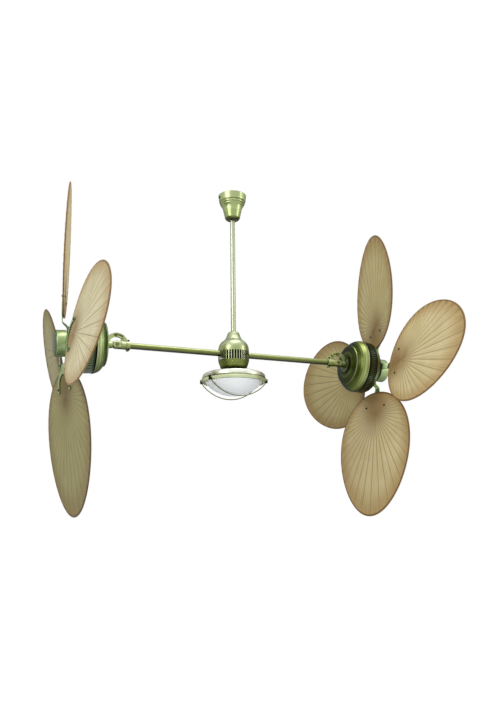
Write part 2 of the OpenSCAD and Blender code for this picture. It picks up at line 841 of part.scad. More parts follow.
// Clips that hook over the ring's lip and hold the ends of the guard wires
module wire_clips() {
    turn = asin(wire_offset / ring_radius);
    color(dark_brass_colour)
        at_hub()
            difference() {
                for (middle = [0, 180])
                    for (bend = [-turn, turn])
                        rotate([0, 0, middle + bend])
                            translate([ring_radius - 9, -clip_width / 2, ring_bottom - 2.5])
                                cube([11, clip_width, clip_height]);
                turn_z(concat([[0, ring_top]], lip_profile(fit_gap), [[0, ring_bottom - fit_gap]]));
                guard_wire_pair(wire_radius + fit_gap);
            }
}

// A round bar along Y at a pivot, measured from the fixed plate towards the slotted one
module rod_facing(side, radius, from, to) {
    facing = side == left ? 1 : -1;
    rod_y(radius, min(facing * from, facing * to), max(facing * from, facing * to));
}

// Pivot bolts and sector locking screws of both knuckles
module knuckle_bolts() {
    color(dark_brass_colour)
        for (side = [left, right])
            at_pivot(side) {
                rod_y(pivot_bolt_radius, -cheek_outer, cheek_outer);
                rod_y(7, -cheek_outer - 3, -cheek_outer);
                rod_y(7, cheek_outer, cheek_outer + 3);
                translate([sector_radius * cos(lock_angle), 0, sector_radius * sin(lock_angle)]) {
                    rod_facing(side, lock_screw_radius, lock_nut_face, lock_head_face + lock_head_height);
                    rod_facing(side, lock_head_radius, lock_nut_face - lock_nut_height, lock_nut_face);
                    rod_facing(side, lock_head_radius, lock_head_face, lock_head_face + lock_head_height);
                }
            }
}

module clamp_collar(side) {
    color(brass_colour)
        at_pivot(side)
            difference() {
                union() {
                    rod_x(collar_radius, collar_start, collar_start + collar_length);
                    for (z = [-ear_height, ear_height])
                        translate([collar_start + collar_length / 2, 0, z])
                            rod_y(ear_radius, -ear_half_width, ear_half_width);
                }
                rod_x(arm_bore, collar_start - 1, collar_start + collar_length + 1);
                translate([collar_start - 1, -0.6, -40]) cube([collar_length + 2, 1.2, 80]);
                for (z = [-ear_height, ear_height])
                    translate([collar_start + collar_length / 2, 0, z]) {
                        rod_y(ear_bolt_radius + fit_gap, -collar_radius, collar_radius);
                        rod_y(ear_head_radius + face_gap, ear_half_width, collar_radius + 1);
                        rod_y(ear_head_radius + face_gap, -collar_radius - 1, -ear_half_width);
                    }
            }
}

// Where a sector plate starts along Y: the slotted plates of both heads face the same way
function plate_start(side, slotted) =
    slotted == (side == left) ? face_gap / 2 : -sector_thickness - face_gap / 2;

// A flat ring sector round the pivot, from its root to its chamfered free end, both as angles above
// the arm. Its sketch has the free end at the larger angle, and is mirrored for the other case.
module sector_plate(root, free, y_start) {
    turn = free > root ? 1 : -1;
    translate([0, y_start + sector_thickness, 0])
        rotate([90, 0, 0])
            linear_extrude(height = sector_thickness)
                mirror([0, turn < 0 ? 1 : 0])
                    difference() {
                        circle(r = sector_outer);
                        circle(r = sector_inner);
                        rotate(turn * root) translate([-2 * sector_outer, -2 * sector_outer])
                            square([4 * sector_outer, 2 * sector_outer]);
                        rotate(turn * free) {
                            translate([-2 * sector_outer, 0])
                                square([4 * sector_outer, 2 * sector_outer]);
                            translate([sector_outer - sector_chamfer, 0])
                                rotate(-45) square(2 * sector_chamfer);
                            translate([sector_inner + sector_chamfer, 0])
                                rotate(135) square(2 * sector_chamfer);
                        }
                    }
}

// Arm side of the knuckle: a barrel on the arm, two cheeks and the fixed sector
module fork(side) {
    barrel_start = collar_start + collar_length + face_gap;
    plate_y = plate_start(side, false);
    color(brass_colour)
        at_pivot(side)
            difference() {
                union() {
                    rod_x(fork_radius, barrel_start, -arm_end_gap + 4);
                    intersection() {
                        rod_x(fork_radius, -arm_end_gap, fork_radius);
                        union() {
                            rod_y(fork_radius - 0.5, -cheek_outer, cheek_outer);
                            translate([-arm_end_gap, -cheek_outer, -fork_radius])
                                cube([arm_end_gap, 2 * cheek_outer, 2 * fork_radius]);
                        }
                    }
                    sector_plate(sector_root_angle, lock_angle - sector_end_angle, plate_y);
                    translate([barrel_start, plate_y, 0])
                        cube([sector_width + 4, sector_thickness, 26]);
                }
                rod_x(arm_bore, barrel_start - 1, -arm_end_gap);
                rod_x(9, barrel_start - 1, -arm_end_gap + 6);
                translate([-fork_radius - 1, -cheek_inner, -fork_radius - 1])
                    cube([2 * fork_radius + 10, 2 * cheek_inner, fork_radius + 1 + fork_radius + 1]);
                rod_y(pivot_bolt_radius + fit_gap, -cheek_outer - 1, cheek_outer + 1);
                translate([sector_radius * cos(lock_angle), 0, sector_radius * sin(lock_angle)])
                    rod_y(lock_screw_radius + fit_gap, -cheek_outer, cheek_outer);
            }
}

// Head side of the knuckle: tongue, stem, flange and the slotted sector
module knuckle(side) {
    slot_from = lock_angle - tilt_up;
    slot_to = lock_angle + tilt_down;
    plate_y = plate_start(side, true);
    color(brass_colour)
        at_head(side)
            difference() {
                union() {
                    rod_y(tongue_radius, -tongue_thickness / 2, tongue_thickness / 2);
                    translate([0, -tongue_thickness / 2, -tongue_half_height])
                        cube([fork_radius + 6, tongue_thickness, 2 * tongue_half_height]);
                    rod_x(stem_radius, fork_radius + 1.5, flange_back + 1);
                    rod_x(flange_radius, flange_back, motor_back);
                    intersection() {
                        sector_plate(stem_sector_angle, slot_to + sector_end_angle, plate_y);
                        translate([-sector_outer, plate_y - 1, -sector_outer])
                            cube([sector_outer + flange_back + 1, sector_thickness + 2, 2 * sector_outer]);
                    }
                }
                rod_y(pivot_bolt_radius + fit_gap, -cheek_outer, cheek_outer);
                translate([0, plate_y + sector_thickness + 1, 0])
                    rotate([90, 0, 0])
                        linear_extrude(height = sector_thickness + 2)
                            lock_slot(slot_from, slot_to);
                rod_x(5, fork_radius - 3, motor_back + 1);
            }
}

// The curved slot of the locking screw, drawn in the plane of the sector
module lock_slot(from, to) {
    difference() {
        circle(r = sector_radius + slot_half_width);
        circle(r = sector_radius - slot_half_width);
        rotate(from) translate([-2 * sector_outer, -2 * sector_outer])
            square([4 * sector_outer, 2 * sector_outer]);
        rotate(to) translate([-2 * sector_outer, 0]) square([4 * sector_outer, 2 * sector_outer]);
    }
    for (angle = [from, to])
        rotate(angle) translate([sector_radius, 0]) circle(r = slot_end_radius);
}

// The back shell's outer profile: flat back, bead, hollow and swelling side
function back_outer() = [
    [flange_radius + 15, motor_back + 0.5],
    [back_bead_radius - 18, motor_back + 3.5],
    [back_bead_radius - 4, motor_back + 6.5],
    [back_bead_radius - 1, motor_back + 7],
    [back_bead_radius + 0.6, motor_back + 10],
    [back_bead_radius - 0.4, motor_back + 13],
    [back_bead_radius + 4, motor_back + 16],
    [motor_radius - 16.5, motor_back + 22],
    [motor_radius - 9.5, motor_back + 29],
    [motor_radius - 4.5, motor_back + 37.5],
    [motor_radius - 1.4, motor_back + 47],
    [motor_radius, back_shell_end - ring_seam]
];

module back_shell(side) {
    outer = back_outer();
    inner = [
        for (i = [len(outer) - 1:-1:0])
            [outer[i][0] - (i < 2 ? 0 : motor_sheet), outer[i][1] + (i < 8 ? wall_thickness : 0)]
    ];
    boss_end = back_bearing_start + bearing_width;
    color(brass_colour)
        at_head(side)
            turn_x(concat(
                [[6, motor_back]],
                outer,
                inner,
                [
                    [boss_radius + 2, motor_back + wall_thickness],
                    [boss_radius, motor_back + wall_thickness + 2],
                    [boss_radius, boss_end],
                    [bearing_radius + fit_gap, boss_end],
                    [bearing_radius + fit_gap, back_bearing_start],
                    [shaft_hole_radius, back_bearing_start],
                    [6, back_bearing_start]
                ]
            ));
}

// The vented ring between the shells, with a dark seam and a row of narrow slots
module vent_ring(side) {
    slot_start = back_shell_end + 13 - ring_seam;
    inner = vent_ring_radius - vent_ring_wall;
    color(dark_brass_colour)
        at_head(side)
            difference() {
                turn_x([
                    [inner, back_shell_end - ring_seam + fit_gap],
                    [vent_ring_radius - 1.3, back_shell_end - ring_seam + fit_gap],
                    [vent_ring_radius - 1.3, back_shell_end + ring_seam],
                    [vent_ring_radius, back_shell_end + ring_seam + 1],
                    [vent_ring_radius, vent_ring_end - fit_gap],
                    [inner, vent_ring_end - fit_gap]
                ]);
                for (i = [0:motor_slots - 1])
                    rotate([i * 360 / motor_slots, 0, 0])
                        translate([slot_start, -motor_slot_width / 2, inner - 2])
                            cube([motor_slot_length, motor_slot_width, vent_ring_wall + 5]);
            }
}

function front_outer() = [
    [motor_radius - 2, vent_ring_end],
    [motor_radius - 3.2, vent_ring_end + 5],
    [motor_radius - 7, vent_ring_end + 13],
    [motor_radius - 13.5, vent_ring_end + 20.5],
    [motor_radius - 22, vent_ring_end + 26.5],
    [motor_radius - 31, motor_front - 4.5],
    [motor_radius - 46, motor_front - 2],
    [motor_radius - 70, motor_front]
];

module front_shell(side) {
    outer = front_outer();
    inner = [
        for (i = [len(outer) - 1:-1:0])
            [outer[i][0] - (i > 6 ? 0 : motor_sheet), outer[i][1] - (i > 1 ? wall_thickness : 0)]
    ];
    color(brass_colour)
        at_head(side)
            turn_x(concat(
                outer,
                [
                    [shaft_hole_radius, motor_front],
                    [shaft_hole_radius, front_bearing_start + bearing_width],
                    [bearing_radius + fit_gap, front_bearing_start + bearing_width],
                    [bearing_radius + fit_gap, front_bearing_start],
                    [boss_radius, front_bearing_start],
                    [boss_radius, motor_front - wall_thickness]
                ],
                inner
            ));
}

// Laminated ring with wound ends, held in the vented ring by four lugs
module stator(side) {
    core_start = core_middle - core_half_length;
    core_end = core_middle + core_half_length;
    lug_reach = vent_ring_radius - vent_ring_wall - fit_gap;
    at_head(side) {
        color(steel_colour) {
            tube_x(stator_radius, stator_bore, core_start, core_end);
            for (i = [0:3])
                rotate([45 + 90 * i, 0, 0])
                    intersection() {
                        translate([core_start + 8, -9, stator_radius - 3]) cube([14, 18, lug_reach]);
                        rod_x(lug_reach, core_start, core_end);
                    }
        }
        color(copper_colour) {
            tube_x(stator_radius - 6, stator_bore + 4, core_start - winding_length, core_start);
            tube_x(stator_radius - 6, stator_bore + 4, core_end, core_end + winding_length);
        }
    }
}

module bearings(side) {
    color(steel_colour)
        at_head(side)
            for (start = [back_bearing_start, front_bearing_start])
                tube_x(bearing_radius, shaft_radius + fit_gap, start, start + bearing_width);
}

module shaft(side) {
    color(steel_colour) at_head(side) rod_x(shaft_radius, back_bearing_start + 0.5, shaft_end);
}

module rotor_core(side) {
    color(steel_colour)
        at_head(side)
            union() {
                tube_x(rotor_core_radius, shaft_radius + fit_gap,
                       core_middle - core_half_length, core_middle + core_half_length);
                for (start = [core_middle - core_half_length - 5, core_middle + core_half_length])
                    tube_x(rotor_core_radius - 1, rotor_core_radius - 14, start, start + 5);
            }
}

module flywheel(side) {
    color(dark_brass_colour)
        at_head(side)
            turn_x([
                [shaft_radius + fit_gap, flywheel_back - 4],
                [hub_boss_radius, flywheel_back - 4],
                [hub_boss_radius + 3, flywheel_back],
                [flywheel_radius, flywheel_back],
                [flywheel_radius, flywheel_front],
                [hub_boss_radius, flywheel_front],
                [hub_boss_radius, boss_front],
                [shaft_radius + fit_gap, boss_front]
            ]);
}

// Spun cap over the front of the flywheel, seated on the shaft's end by an inner post
module hub_cap(side) {
    color(brass_colour)
        at_head(side)
            turn_x(concat(
                [
                    [cap_radius - cap_sheet, cap_back],
                    [cap_radius, cap_back],
                    [cap_radius, cap_back + 2]
                ],
                arc([cap_radius - 7, cap_front - 7], 7, 0, 80, 8),
                [
                    [cap_radius - 12, cap_front],
                    [cap_radius - 14, cap_front + 0.8],
                    [0, cap_front + 2],
                    [0, shaft_end + fit_gap],
                    [shaft_radius, shaft_end + fit_gap],
                    [shaft_radius, cap_front - cap_sheet],
                    [cap_radius - 12, cap_front - cap_sheet - 1],
                    [cap_radius - cap_sheet - 4, cap_front - 5],
                    [cap_radius - cap_sheet, cap_front - 9]
                ]
            ));
}

// The middle of the horseshoe's plate at a distance from the motor axis
function plate_middle(reach) =
    blade_plane + (iron_seat + iron_thickness / 2) / cos(blade_sweep) - reach * tan(blade_sweep);

// The neck's side curve: it leaves the foot level, climbs steeply and runs on into the plate
function neck_place(t) =
    let (
        reach = iron_foot_outer + (neck_end - iron_foot_outer) * t,
        climb = (1 - cos(180 * min(1, t / neck_climb))) / 2,
        foot = flywheel_front + iron_thickness / 2 + fit_gap
    )
        [foot + (plate_middle(reach) - foot) * climb, reach];

function neck_normal(t) =
    let (a = neck_place(t - 0.01), b = neck_place(t + 0.01), d = (b - a) / norm(b - a)) [d[1], -d[0]];

// Four corners of the neck at a place on that curve, leaning into the blade's pitch
function neck_section(t) =
    let (
        p = neck_place(t),
        n = neck_normal(t) * iron_thickness / 2,
        half = neck_width / 2 - neck_waist * sin(180 * t),
        lean = tan(blade_pitch) * half * min(1, t / neck_climb)
    )
        [
            [p[0] + n[0] + lean, half, p[1] + n[1]],
            [p[0] + n[0] - lean, -half, p[1] + n[1]],
            [p[0] - n[0] - lean, -half, p[1] - n[1]],
            [p[0] - n[0] + lean, half, p[1] - n[1]]
        ];

module iron_neck() {
    points = [for (i = [0:neck_steps]) each neck_section(i / neck_steps)];
    sides = [
        for (i = [0:neck_steps - 1]) for (j = [0:3])
            let (a = 4 * i + j, b = 4 * i + (j + 1) % 4) each [[a, b, b + 4], [a, b + 4, a + 4]]
    ];
    last = 4 * neck_steps;
    ends = [[3, 2, 1], [3, 1, 0], [last, last + 1, last + 2], [last, last + 2, last + 3]];
    polyhedron(points = points, faces = concat(sides, ends));
}

// The horseshoe of a blade iron, drawn with the leaf's length along +X of the sketch
module fork_outline() {
    difference() {
        union() {
            difference() {
                translate([fork_middle, 0]) circle(r = fork_outer);
                translate([fork_middle, -fork_outer - 1]) square([2 * fork_outer, 2 * fork_outer + 2]);
            }
            for (v = [-blade_screw_offset, blade_screw_offset]) {
                translate([fork_middle - 0.1, v - prong_width / 2])
                    square([prong_end - prong_width / 2 - fork_middle + 0.1, prong_width]);
                translate([prong_end - prong_width / 2, v]) circle(r = prong_width / 2 - 0.1);
            }
        }
        translate([fork_middle, 0]) circle(r = fork_inner);
        translate([fork_middle, -fork_inner]) square([fork_outer, 2 * fork_inner]);
        for (v = [-blade_screw_offset, blade_screw_offset])
            translate([screw_place, v]) circle(r = blade_screw_radius + fit_gap, $fn = 24);
    }
}

module blade_irons(side) {
    color(brass_colour)
        for (index = [0:3]) {
            at_blade(side, index)
                translate([iron_seat, 0, 0])
                    rotate([0, -90, 180])
                        linear_extrude(height = iron_thickness) fork_outline();
            at_head(side)
                rotate([blade_phase + 90 * index, 0, 0]) {
                    iron_neck();
                    translate([flywheel_front + fit_gap, -neck_width / 2, iron_foot_inner])
                        cube([iron_thickness, neck_width, iron_foot_outer + 1 - iron_foot_inner]);
                }
        }
}

module blade_screws(side) {
    back = -leaf_half - pleat_half - 2.6;
    front = iron_seat + iron_thickness;
    color(dark_brass_colour)
        for (index = [0:3])
            at_blade(side, index)
                for (v = [-blade_screw_offset, blade_screw_offset])
                    translate([0, v, screw_place]) {
                        rod_x(blade_screw_radius, back, front);
                        rod_x(4.6, front + fit_gap / 2, front + 2.4);
                        rod_x(4.4, back, back + 2.4);
                    }
}

// The leaf's outline, by a parameter that runs from 0 at the root to 360 round both edges
function outline_u(t) = blade_root + blade_length * (1 - cos(t)) / 2;
function outline_v(t) = blade_width / 2 * sin(t) * (1 + blade_egg * cos(t));

// The parameter at which the outline lies at an angle from the pleat centre, by halving
function outline_at(angle, low, high, rounds) =
    let (
        middle = (low + high) / 2,
        seen = atan2(outline_v(middle), outline_u(middle) - pleat_place)
    )
        rounds == 0 ? middle
            : seen > angle ? outline_at(angle, middle, high, rounds - 1)
            : outline_at(angle, low, middle, rounds - 1);

// Edge point of ray i: the rays are evenly spread, and both halves of the leaf are alike
function edge_point(i) =
    let (
        angle = i * 180 / pleats,
        t = angle > 179.9 ? 0 : angle < 0.1 ? 180 : outline_at(min(angle, 360 - angle), 0, 180, 22),
        mirrored = angle > 180
    )
        [outline_u(t), mirrored ? -outline_v(t) : outline_v(t)];

// One ring of the leaf's points: how far out along each ray, and how high ridges stand
function leaf_ring(inset, share, height, lift) = [
    for (i = [0:2 * pleats - 1])
        let (
            angle = i * 180 / pleats,
            edge = edge_point(angle > 180 ? 2 * pleats - i : i),
            v_edge = angle > 180 ? -edge[1] : edge[1],
            reach = norm([edge[0] - pleat_place, v_edge]),
            r = share > 0 ? share : reach - inset,
            sign = i % 2 == 0 ? 1 : -1
        )
            [lift + sign * height, -v_edge * r / reach, pleat_place + (edge[0] - pleat_place) * r / reach]
];

module leaf() {
    n = 2 * pleats;
    rings = [
        leaf_ring(0, pleat_start, pleat_half * 0.35, leaf_half),
        leaf_ring(edge_width, 0, pleat_half, leaf_half),
        leaf_ring(0, 0, 0, edge_thickness / 2),
        leaf_ring(0, 0, 0, -edge_thickness / 2),
        leaf_ring(edge_width, 0, pleat_half, -leaf_half),
        leaf_ring(0, pleat_start, pleat_half * 0.35, -leaf_half)
    ];
    points = concat([for (ring = rings) each ring], [[leaf_half, 0, pleat_place], [-leaf_half, 0, pleat_place]]);
    front = len(points) - 2;
    back = len(points) - 1;
    bands = [
        for (k = [0:len(rings) - 2]) for (i = [0:n - 1])
            let (a = k * n + i, b = k * n + (i + 1) % n) each [[a, a + n, b + n], [a, b + n, b]]
    ];
    start = (len(rings) - 1) * n;
    caps = [for (i = [0:n - 1]) each [[front, i, (i + 1) % n], [back, start + (i + 1) % n, start + i]]];
    polyhedron(points = points, faces = concat(bands, caps));
}

module blade(side, index) {
    color(leaf_colour)
        at_blade(side, index)
            difference() {
                leaf();
                for (v = [-blade_screw_offset, blade_screw_offset])
                    translate([0, v, screw_place])
                        rod_x(blade_screw_radius + fit_gap, -leaf_thickness * 2, leaf_thickness * 2);
            }
}

hanger_bracket();
hanger_ball();
rod_pins();
canopy();
canopy_screws();
down_rod();
rod_ferrule();
upper_cover();
vent_band();
lower_cover();
arm_junction();
hub_screws();
arm(left);  // left_arm
arm(right);  // right_arm
light_nipple();
lamp_pan();
lamp_holders();
bulbs();
retaining_ring();
glass_bowl();
guard_wires();
wire_clips();
knuckle_bolts();
clamp_collar(left);  // left_clamp_collar
fork(left);  // left_fork
knuckle(left);  // left_knuckle
back_shell(left);  // left_back_shell
vent_ring(left);  // left_vent_ring
front_shell(left);  // left_front_shell
stator(left);  // left_stator
bearings(left);  // left_bearings
shaft(left);  // left_shaft
rotor_core(left);  // left_rotor_core
flywheel(left);  // left_flywheel
blade_irons(left);  // left_blade_irons
blade_screws(left);  // left_blade_screws
hub_cap(left);  // left_hub_cap
blade(left, 0);  // left_blade_1
blade(left, 1);  // left_blade_2
blade(left, 2);  // left_blade_3
blade(left, 3);  // left_blade_4
clamp_collar(right);  // right_clamp_collar
fork(right);  // right_fork
knuckle(right);  // right_knuckle
back_shell(right);  // right_back_shell
vent_ring(right);  // right_vent_ring
front_shell(right);  // right_front_shell
stator(right);  // right_stator
bearings(right);  // right_bearings
shaft(right);  // right_shaft
rotor_core(right);  // right_rotor_core
flywheel(right);  // right_flywheel
blade_irons(right);  // right_blade_irons
blade_screws(right);  // right_blade_screws
hub_cap(right);  // right_hub_cap
blade(right, 0);  // right_blade_1
blade(right, 1);  // right_blade_2
blade(right, 2);  // right_blade_3
blade(right, 3);  // right_blade_4
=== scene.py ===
import json
import math

import bpy
from mathutils import Matrix, Vector


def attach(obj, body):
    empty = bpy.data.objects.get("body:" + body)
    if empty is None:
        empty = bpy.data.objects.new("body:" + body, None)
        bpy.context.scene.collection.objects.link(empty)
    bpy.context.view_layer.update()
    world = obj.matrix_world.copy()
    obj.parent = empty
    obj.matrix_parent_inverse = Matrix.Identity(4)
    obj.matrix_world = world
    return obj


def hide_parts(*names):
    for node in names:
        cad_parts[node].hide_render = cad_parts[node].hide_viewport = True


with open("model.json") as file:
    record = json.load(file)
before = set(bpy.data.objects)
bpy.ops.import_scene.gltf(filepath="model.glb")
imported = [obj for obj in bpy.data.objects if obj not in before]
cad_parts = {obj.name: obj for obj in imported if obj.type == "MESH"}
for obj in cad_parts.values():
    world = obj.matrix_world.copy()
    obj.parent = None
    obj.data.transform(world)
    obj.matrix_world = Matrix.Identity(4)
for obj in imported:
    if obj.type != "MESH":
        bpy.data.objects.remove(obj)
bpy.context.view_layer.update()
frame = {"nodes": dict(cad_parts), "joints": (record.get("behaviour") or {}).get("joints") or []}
nodes = frame["nodes"]

MM = 0.001
SIDES = ("left", "right")


def turned(degrees, axis):
    return Matrix.Rotation(math.radians(degrees), 4, axis)


# ---------------------------------------------------------------- camera

# The lens, place and direction of the photograph's camera, with angles in degrees
FOCAL_PIXELS = 722.2
IMAGE_HEIGHT = 701
SENSOR_WIDTH = 36
CAMERA_REACH = 200
CAMERA_PLACE = Vector((-1.1081, -2.7578, -1.4251))
CAMERA_YAW = -22.455
CAMERA_PITCH = 13.554
CAMERA_ROLL = -0.634


def make_camera():
    data = bpy.data.cameras.new("camera")
    data.sensor_width = SENSOR_WIDTH
    data.lens = FOCAL_PIXELS / IMAGE_HEIGHT * SENSOR_WIDTH
    data.clip_end = CAMERA_REACH
    camera = bpy.data.objects.new("camera", data)
    bpy.context.scene.collection.objects.link(camera)
    camera.matrix_world = (
        Matrix.Translation(CAMERA_PLACE)
        @ turned(CAMERA_YAW, "Z")
        @ turned(90 + CAMERA_PITCH, "X")
        @ turned(CAMERA_ROLL, "Z")
    )
    bpy.context.scene.camera = camera


# ---------------------------------------------------------------- node helpers

OCCLUSION_SAMPLES = 8

# How open a point's surroundings are: up to the first it is a corner, from the second it is free
OCCLUSION_CORNER = 0.35
OCCLUSION_OPEN = 0.95


def rgb(text):
    """A colour written as six hex digits, as the linear values that a shader takes."""
    values = [int(text[i:i + 2], 16) / 255 for i in (0, 2, 4)]
    linear = [v / 12.92 if v <= 0.04045 else ((v + 0.055) / 1.055) ** 2.4 for v in values]
    return (*linear, 1.0)


def scaled_colour(colour, factor):
    return tuple(factor * c for c in colour[:3]) + (1.0,)


class Graph:
    """Builds one material's nodes: nearly every method adds a node and returns its output socket."""

    def __init__(self, name):
        self.material = bpy.data.materials.new(name)
        self.material.use_nodes = True
        self.tree = self.material.node_tree
        self.tree.nodes.clear()

    def node(self, kind, **settings):
        made = self.tree.nodes.new("ShaderNode" + kind)
        for key, value in settings.items():
            setattr(made, key, value)
        return made

    def feed(self, socket, value):
        if isinstance(value, bpy.types.NodeSocket):
            self.tree.links.new(value, socket)
        else:
            socket.default_value = value

    def fill(self, made, values):
        for key, value in values.items():
            self.feed(made.inputs[key], value)
        return made

    def place(self):
        return self.node("TexCoord").outputs["Object"]

    def normal(self):
        return self.node("TexCoord").outputs["Normal"]

    def map(self, name):
        return self.node("UVMap", uv_map=name).outputs["UV"]

    def parts(self, vector):
        return self.fill(self.node("SeparateXYZ"), {0: vector}).outputs

    def vector(self, x=0.0, y=0.0, z=0.0):
        return self.fill(self.node("CombineXYZ"), {0: x, 1: y, 2: z}).outputs[0]

    def math(self, operation, a, b=0.0):
        return self.fill(self.node("Math", operation=operation), {0: a, 1: b}).outputs[0]

    def plus(self, a, b):
        return self.math("ADD", a, b)

    def minus(self, a, b):
        return self.math("SUBTRACT", a, b)

    def times(self, a, b):
        return self.math("MULTIPLY", a, b)

    def size(self, a):
        return self.math("ABSOLUTE", a)

    def hypot(self, a, b):
        return self.math("SQRT", self.plus(self.times(a, a), self.times(b, b)))

    def repeats(self, a, b, count):
        """Counts repeats round a circle by the direction of two coordinates."""
        return self.times(self.math("ARCTAN2", a, b), count / (2 * math.pi))

    def from_middle(self, repeats):
        """How far a count of repeats is from the middle of its own repeat: 0 to 0.5."""
        return self.size(self.minus(self.math("FRACT", repeats), 0.5))

    def scaled(self, vector, scale):
        made = self.node("Mapping", vector_type="POINT")
        return self.fill(made, {"Vector": vector, "Scale": scale}).outputs[0]

    def noise(self, vector, scale, detail=3.0, roughness=0.55):
        values = {"Vector": vector, "Scale": scale, "Detail": detail, "Roughness": roughness}
        return self.fill(self.node("TexNoise"), values).outputs["Fac"]

    def ramp(self, value, low, high, to_low=0.0, to_high=1.0, smooth=True):
        kind = "SMOOTHSTEP" if smooth else "LINEAR"
        made = self.node("MapRange", interpolation_type=kind, clamp=True)
        values = {"Value": value, 1: low, 2: high, 3: to_low, 4: to_high}
        return self.fill(made, values).outputs[0]

    def blend(self, share, a, b, mode="MIX"):
        made = self.node("Mix", data_type="RGBA", blend_type=mode)
        return self.fill(made, {0: share, 6: a, 7: b}).outputs[2]

    def tint(self, colour, share, text, mode="MIX"):
        return self.blend(share, colour, rgb(text), mode)

    def crevice(self, distance):
        """1 where other surfaces close in within the distance, 0 in the open."""
        made = self.node("AmbientOcclusion", samples=OCCLUSION_SAMPLES)
        made.inputs["Distance"].default_value = distance
        return self.ramp(made.outputs["AO"], OCCLUSION_CORNER, OCCLUSION_OPEN, to_low=1.0, to_high=0.0)

    def bump(self, height, distance, strength):
        values = {"Strength": strength, "Distance": distance, "Height": height}
        return self.fill(self.node("Bump"), values).outputs[0]

    def surface(self, **values):
        shader = self.node("BsdfPrincipled")
        self.fill(shader, {key.replace("_", " "): value for key, value in values.items()})
        end = self.node("OutputMaterial")
        self.tree.links.new(shader.outputs[0], end.inputs[0])
        return self.material


# ---------------------------------------------------------------- stage and lights

FLOOR_Z = -2.4
FLOOR_HALF = 60.0
FLOOR_GLOW = 0.8
FLOOR_DARK = (0.78, 0.78, 0.78, 1)
FLOOR_LIGHT = (0.8, 0.8, 0.8, 1)
WORLD_LIGHT = 0.36
MIDDLE = (0.0, 0.0, -0.7)
BOWL = (0.0, 0.0, -0.85)


def seen_rays(tree):
    """1 for the rays that show a surface: straight to the camera, mirrored or through glass."""
    path = tree.nodes.new("ShaderNodeLightPath")
    total = path.outputs["Is Camera Ray"]
    for name in ("Is Glossy Ray", "Is Transmission Ray"):
        added = tree.nodes.new("ShaderNodeMath")
        added.operation = "MAXIMUM"
        tree.links.new(total, added.inputs[0])
        tree.links.new(path.outputs[name], added.inputs[1])
        total = added.outputs[0]
    return total


def make_world():
    world = bpy.data.worlds.new("studio")
    bpy.context.scene.world = world
    world.use_nodes = True
    tree = world.node_tree
    background = tree.nodes["Background"]
    background.inputs["Color"].default_value = (1, 1, 1, 1)
    strength = tree.nodes.new("ShaderNodeMapRange")
    strength.inputs["To Min"].default_value = WORLD_LIGHT
    strength.inputs["To Max"].default_value = 1.0
    tree.links.new(seen_rays(tree), strength.inputs["Value"])
    tree.links.new(strength.outputs[0], background.inputs["Strength"])


def floor_material():
    """Pale floor that glows for the rays that show it, so that it is as white as the backdrop."""
    g = Graph("floor")
    grain = g.noise(g.place(), 3.0)
    diffuse = g.node("BsdfDiffuse")
    g.feed(diffuse.inputs["Color"], g.blend(grain, FLOOR_DARK, FLOOR_LIGHT))
    glow = g.node("Emission")
    g.feed(glow.inputs["Strength"], g.times(seen_rays(g.tree), FLOOR_GLOW))
    both = g.node("AddShader")
    g.tree.links.new(diffuse.outputs[0], both.inputs[0])
    g.tree.links.new(glow.outputs[0], both.inputs[1])
    end = g.node("OutputMaterial")
    g.tree.links.new(both.outputs[0], end.inputs[0])
    return g.material


def make_floor():
    mesh = bpy.data.meshes.new("floor")
    half = FLOOR_HALF
    corners = [(-half, -half), (half, -half), (half, half), (-half, half)]
    mesh.from_pydata([(x, y, FLOOR_Z) for x, y in corners], [], [(0, 1, 2, 3)])
    floor = bpy.data.objects.new("floor", mesh)
    bpy.context.scene.collection.objects.link(floor)
    mesh.materials.append(floor_material())


def make_lamp(name, place, aim, size, power, spread=180, mirrored=True):
    """An area lamp, which glass never shows and metal only shows where it is mirrored."""
    data = bpy.data.lights.new(name, "AREA")
    data.shape = "RECTANGLE"
    data.size, data.size_y = size
    data.energy = power
    data.spread = math.radians(spread)
    lamp = bpy.data.objects.new(name, data)
    lamp.visible_glossy = mirrored
    lamp.visible_transmission = False
    bpy.context.scene.collection.objects.link(lamp)
    facing = (Vector(aim) - Vector(place)).to_track_quat("-Z", "Y")
    lamp.matrix_world = Matrix.Translation(place) @ facing.to_matrix().to_4x4()


def make_lights():
    make_lamp("key", (-3.2, -1.7, 0.3), MIDDLE, size=(1.5, 2.6), power=74)
    make_lamp("fill", (2.9, -2.1, -0.1), MIDDLE, size=(0.8, 2.4), power=30)
    make_lamp("top", (0.2, -0.6, 1.9), MIDDLE, size=(2.4, 1.6), power=40)
    # a narrow beam for the glass bowl alone, which no metal mirrors
    beam = (-0.9, -2.6, -2.1)
    make_lamp("bowl", beam, BOWL, size=(0.25, 0.25), power=0.85, spread=24, mirrored=False)


# ---------------------------------------------------------------- a head's own frame

# Degrees about the upright axis by which each head's X axis points away from the hub
TURN = {"left": 180, "right": 0}


def joint_named(name):
    return next(joint for joint in frame["joints"] if joint["name"] == name)


def head_frame(side_name):
    """From millimetres along a head's own axes, with X out along the motor, to the row frame."""
    pivot = Vector(joint_named(side_name + "_tilt")["pos_m"])
    out = Vector(joint_named(side_name + "_spin")["axis"])
    droop = math.degrees(math.atan2(-out.z, abs(out.x)))
    turns = turned(TURN[side_name], "Z") @ turned(droop, "Y")
    return Matrix.Translation(pivot) @ turns @ Matrix.Scale(MM, 4)


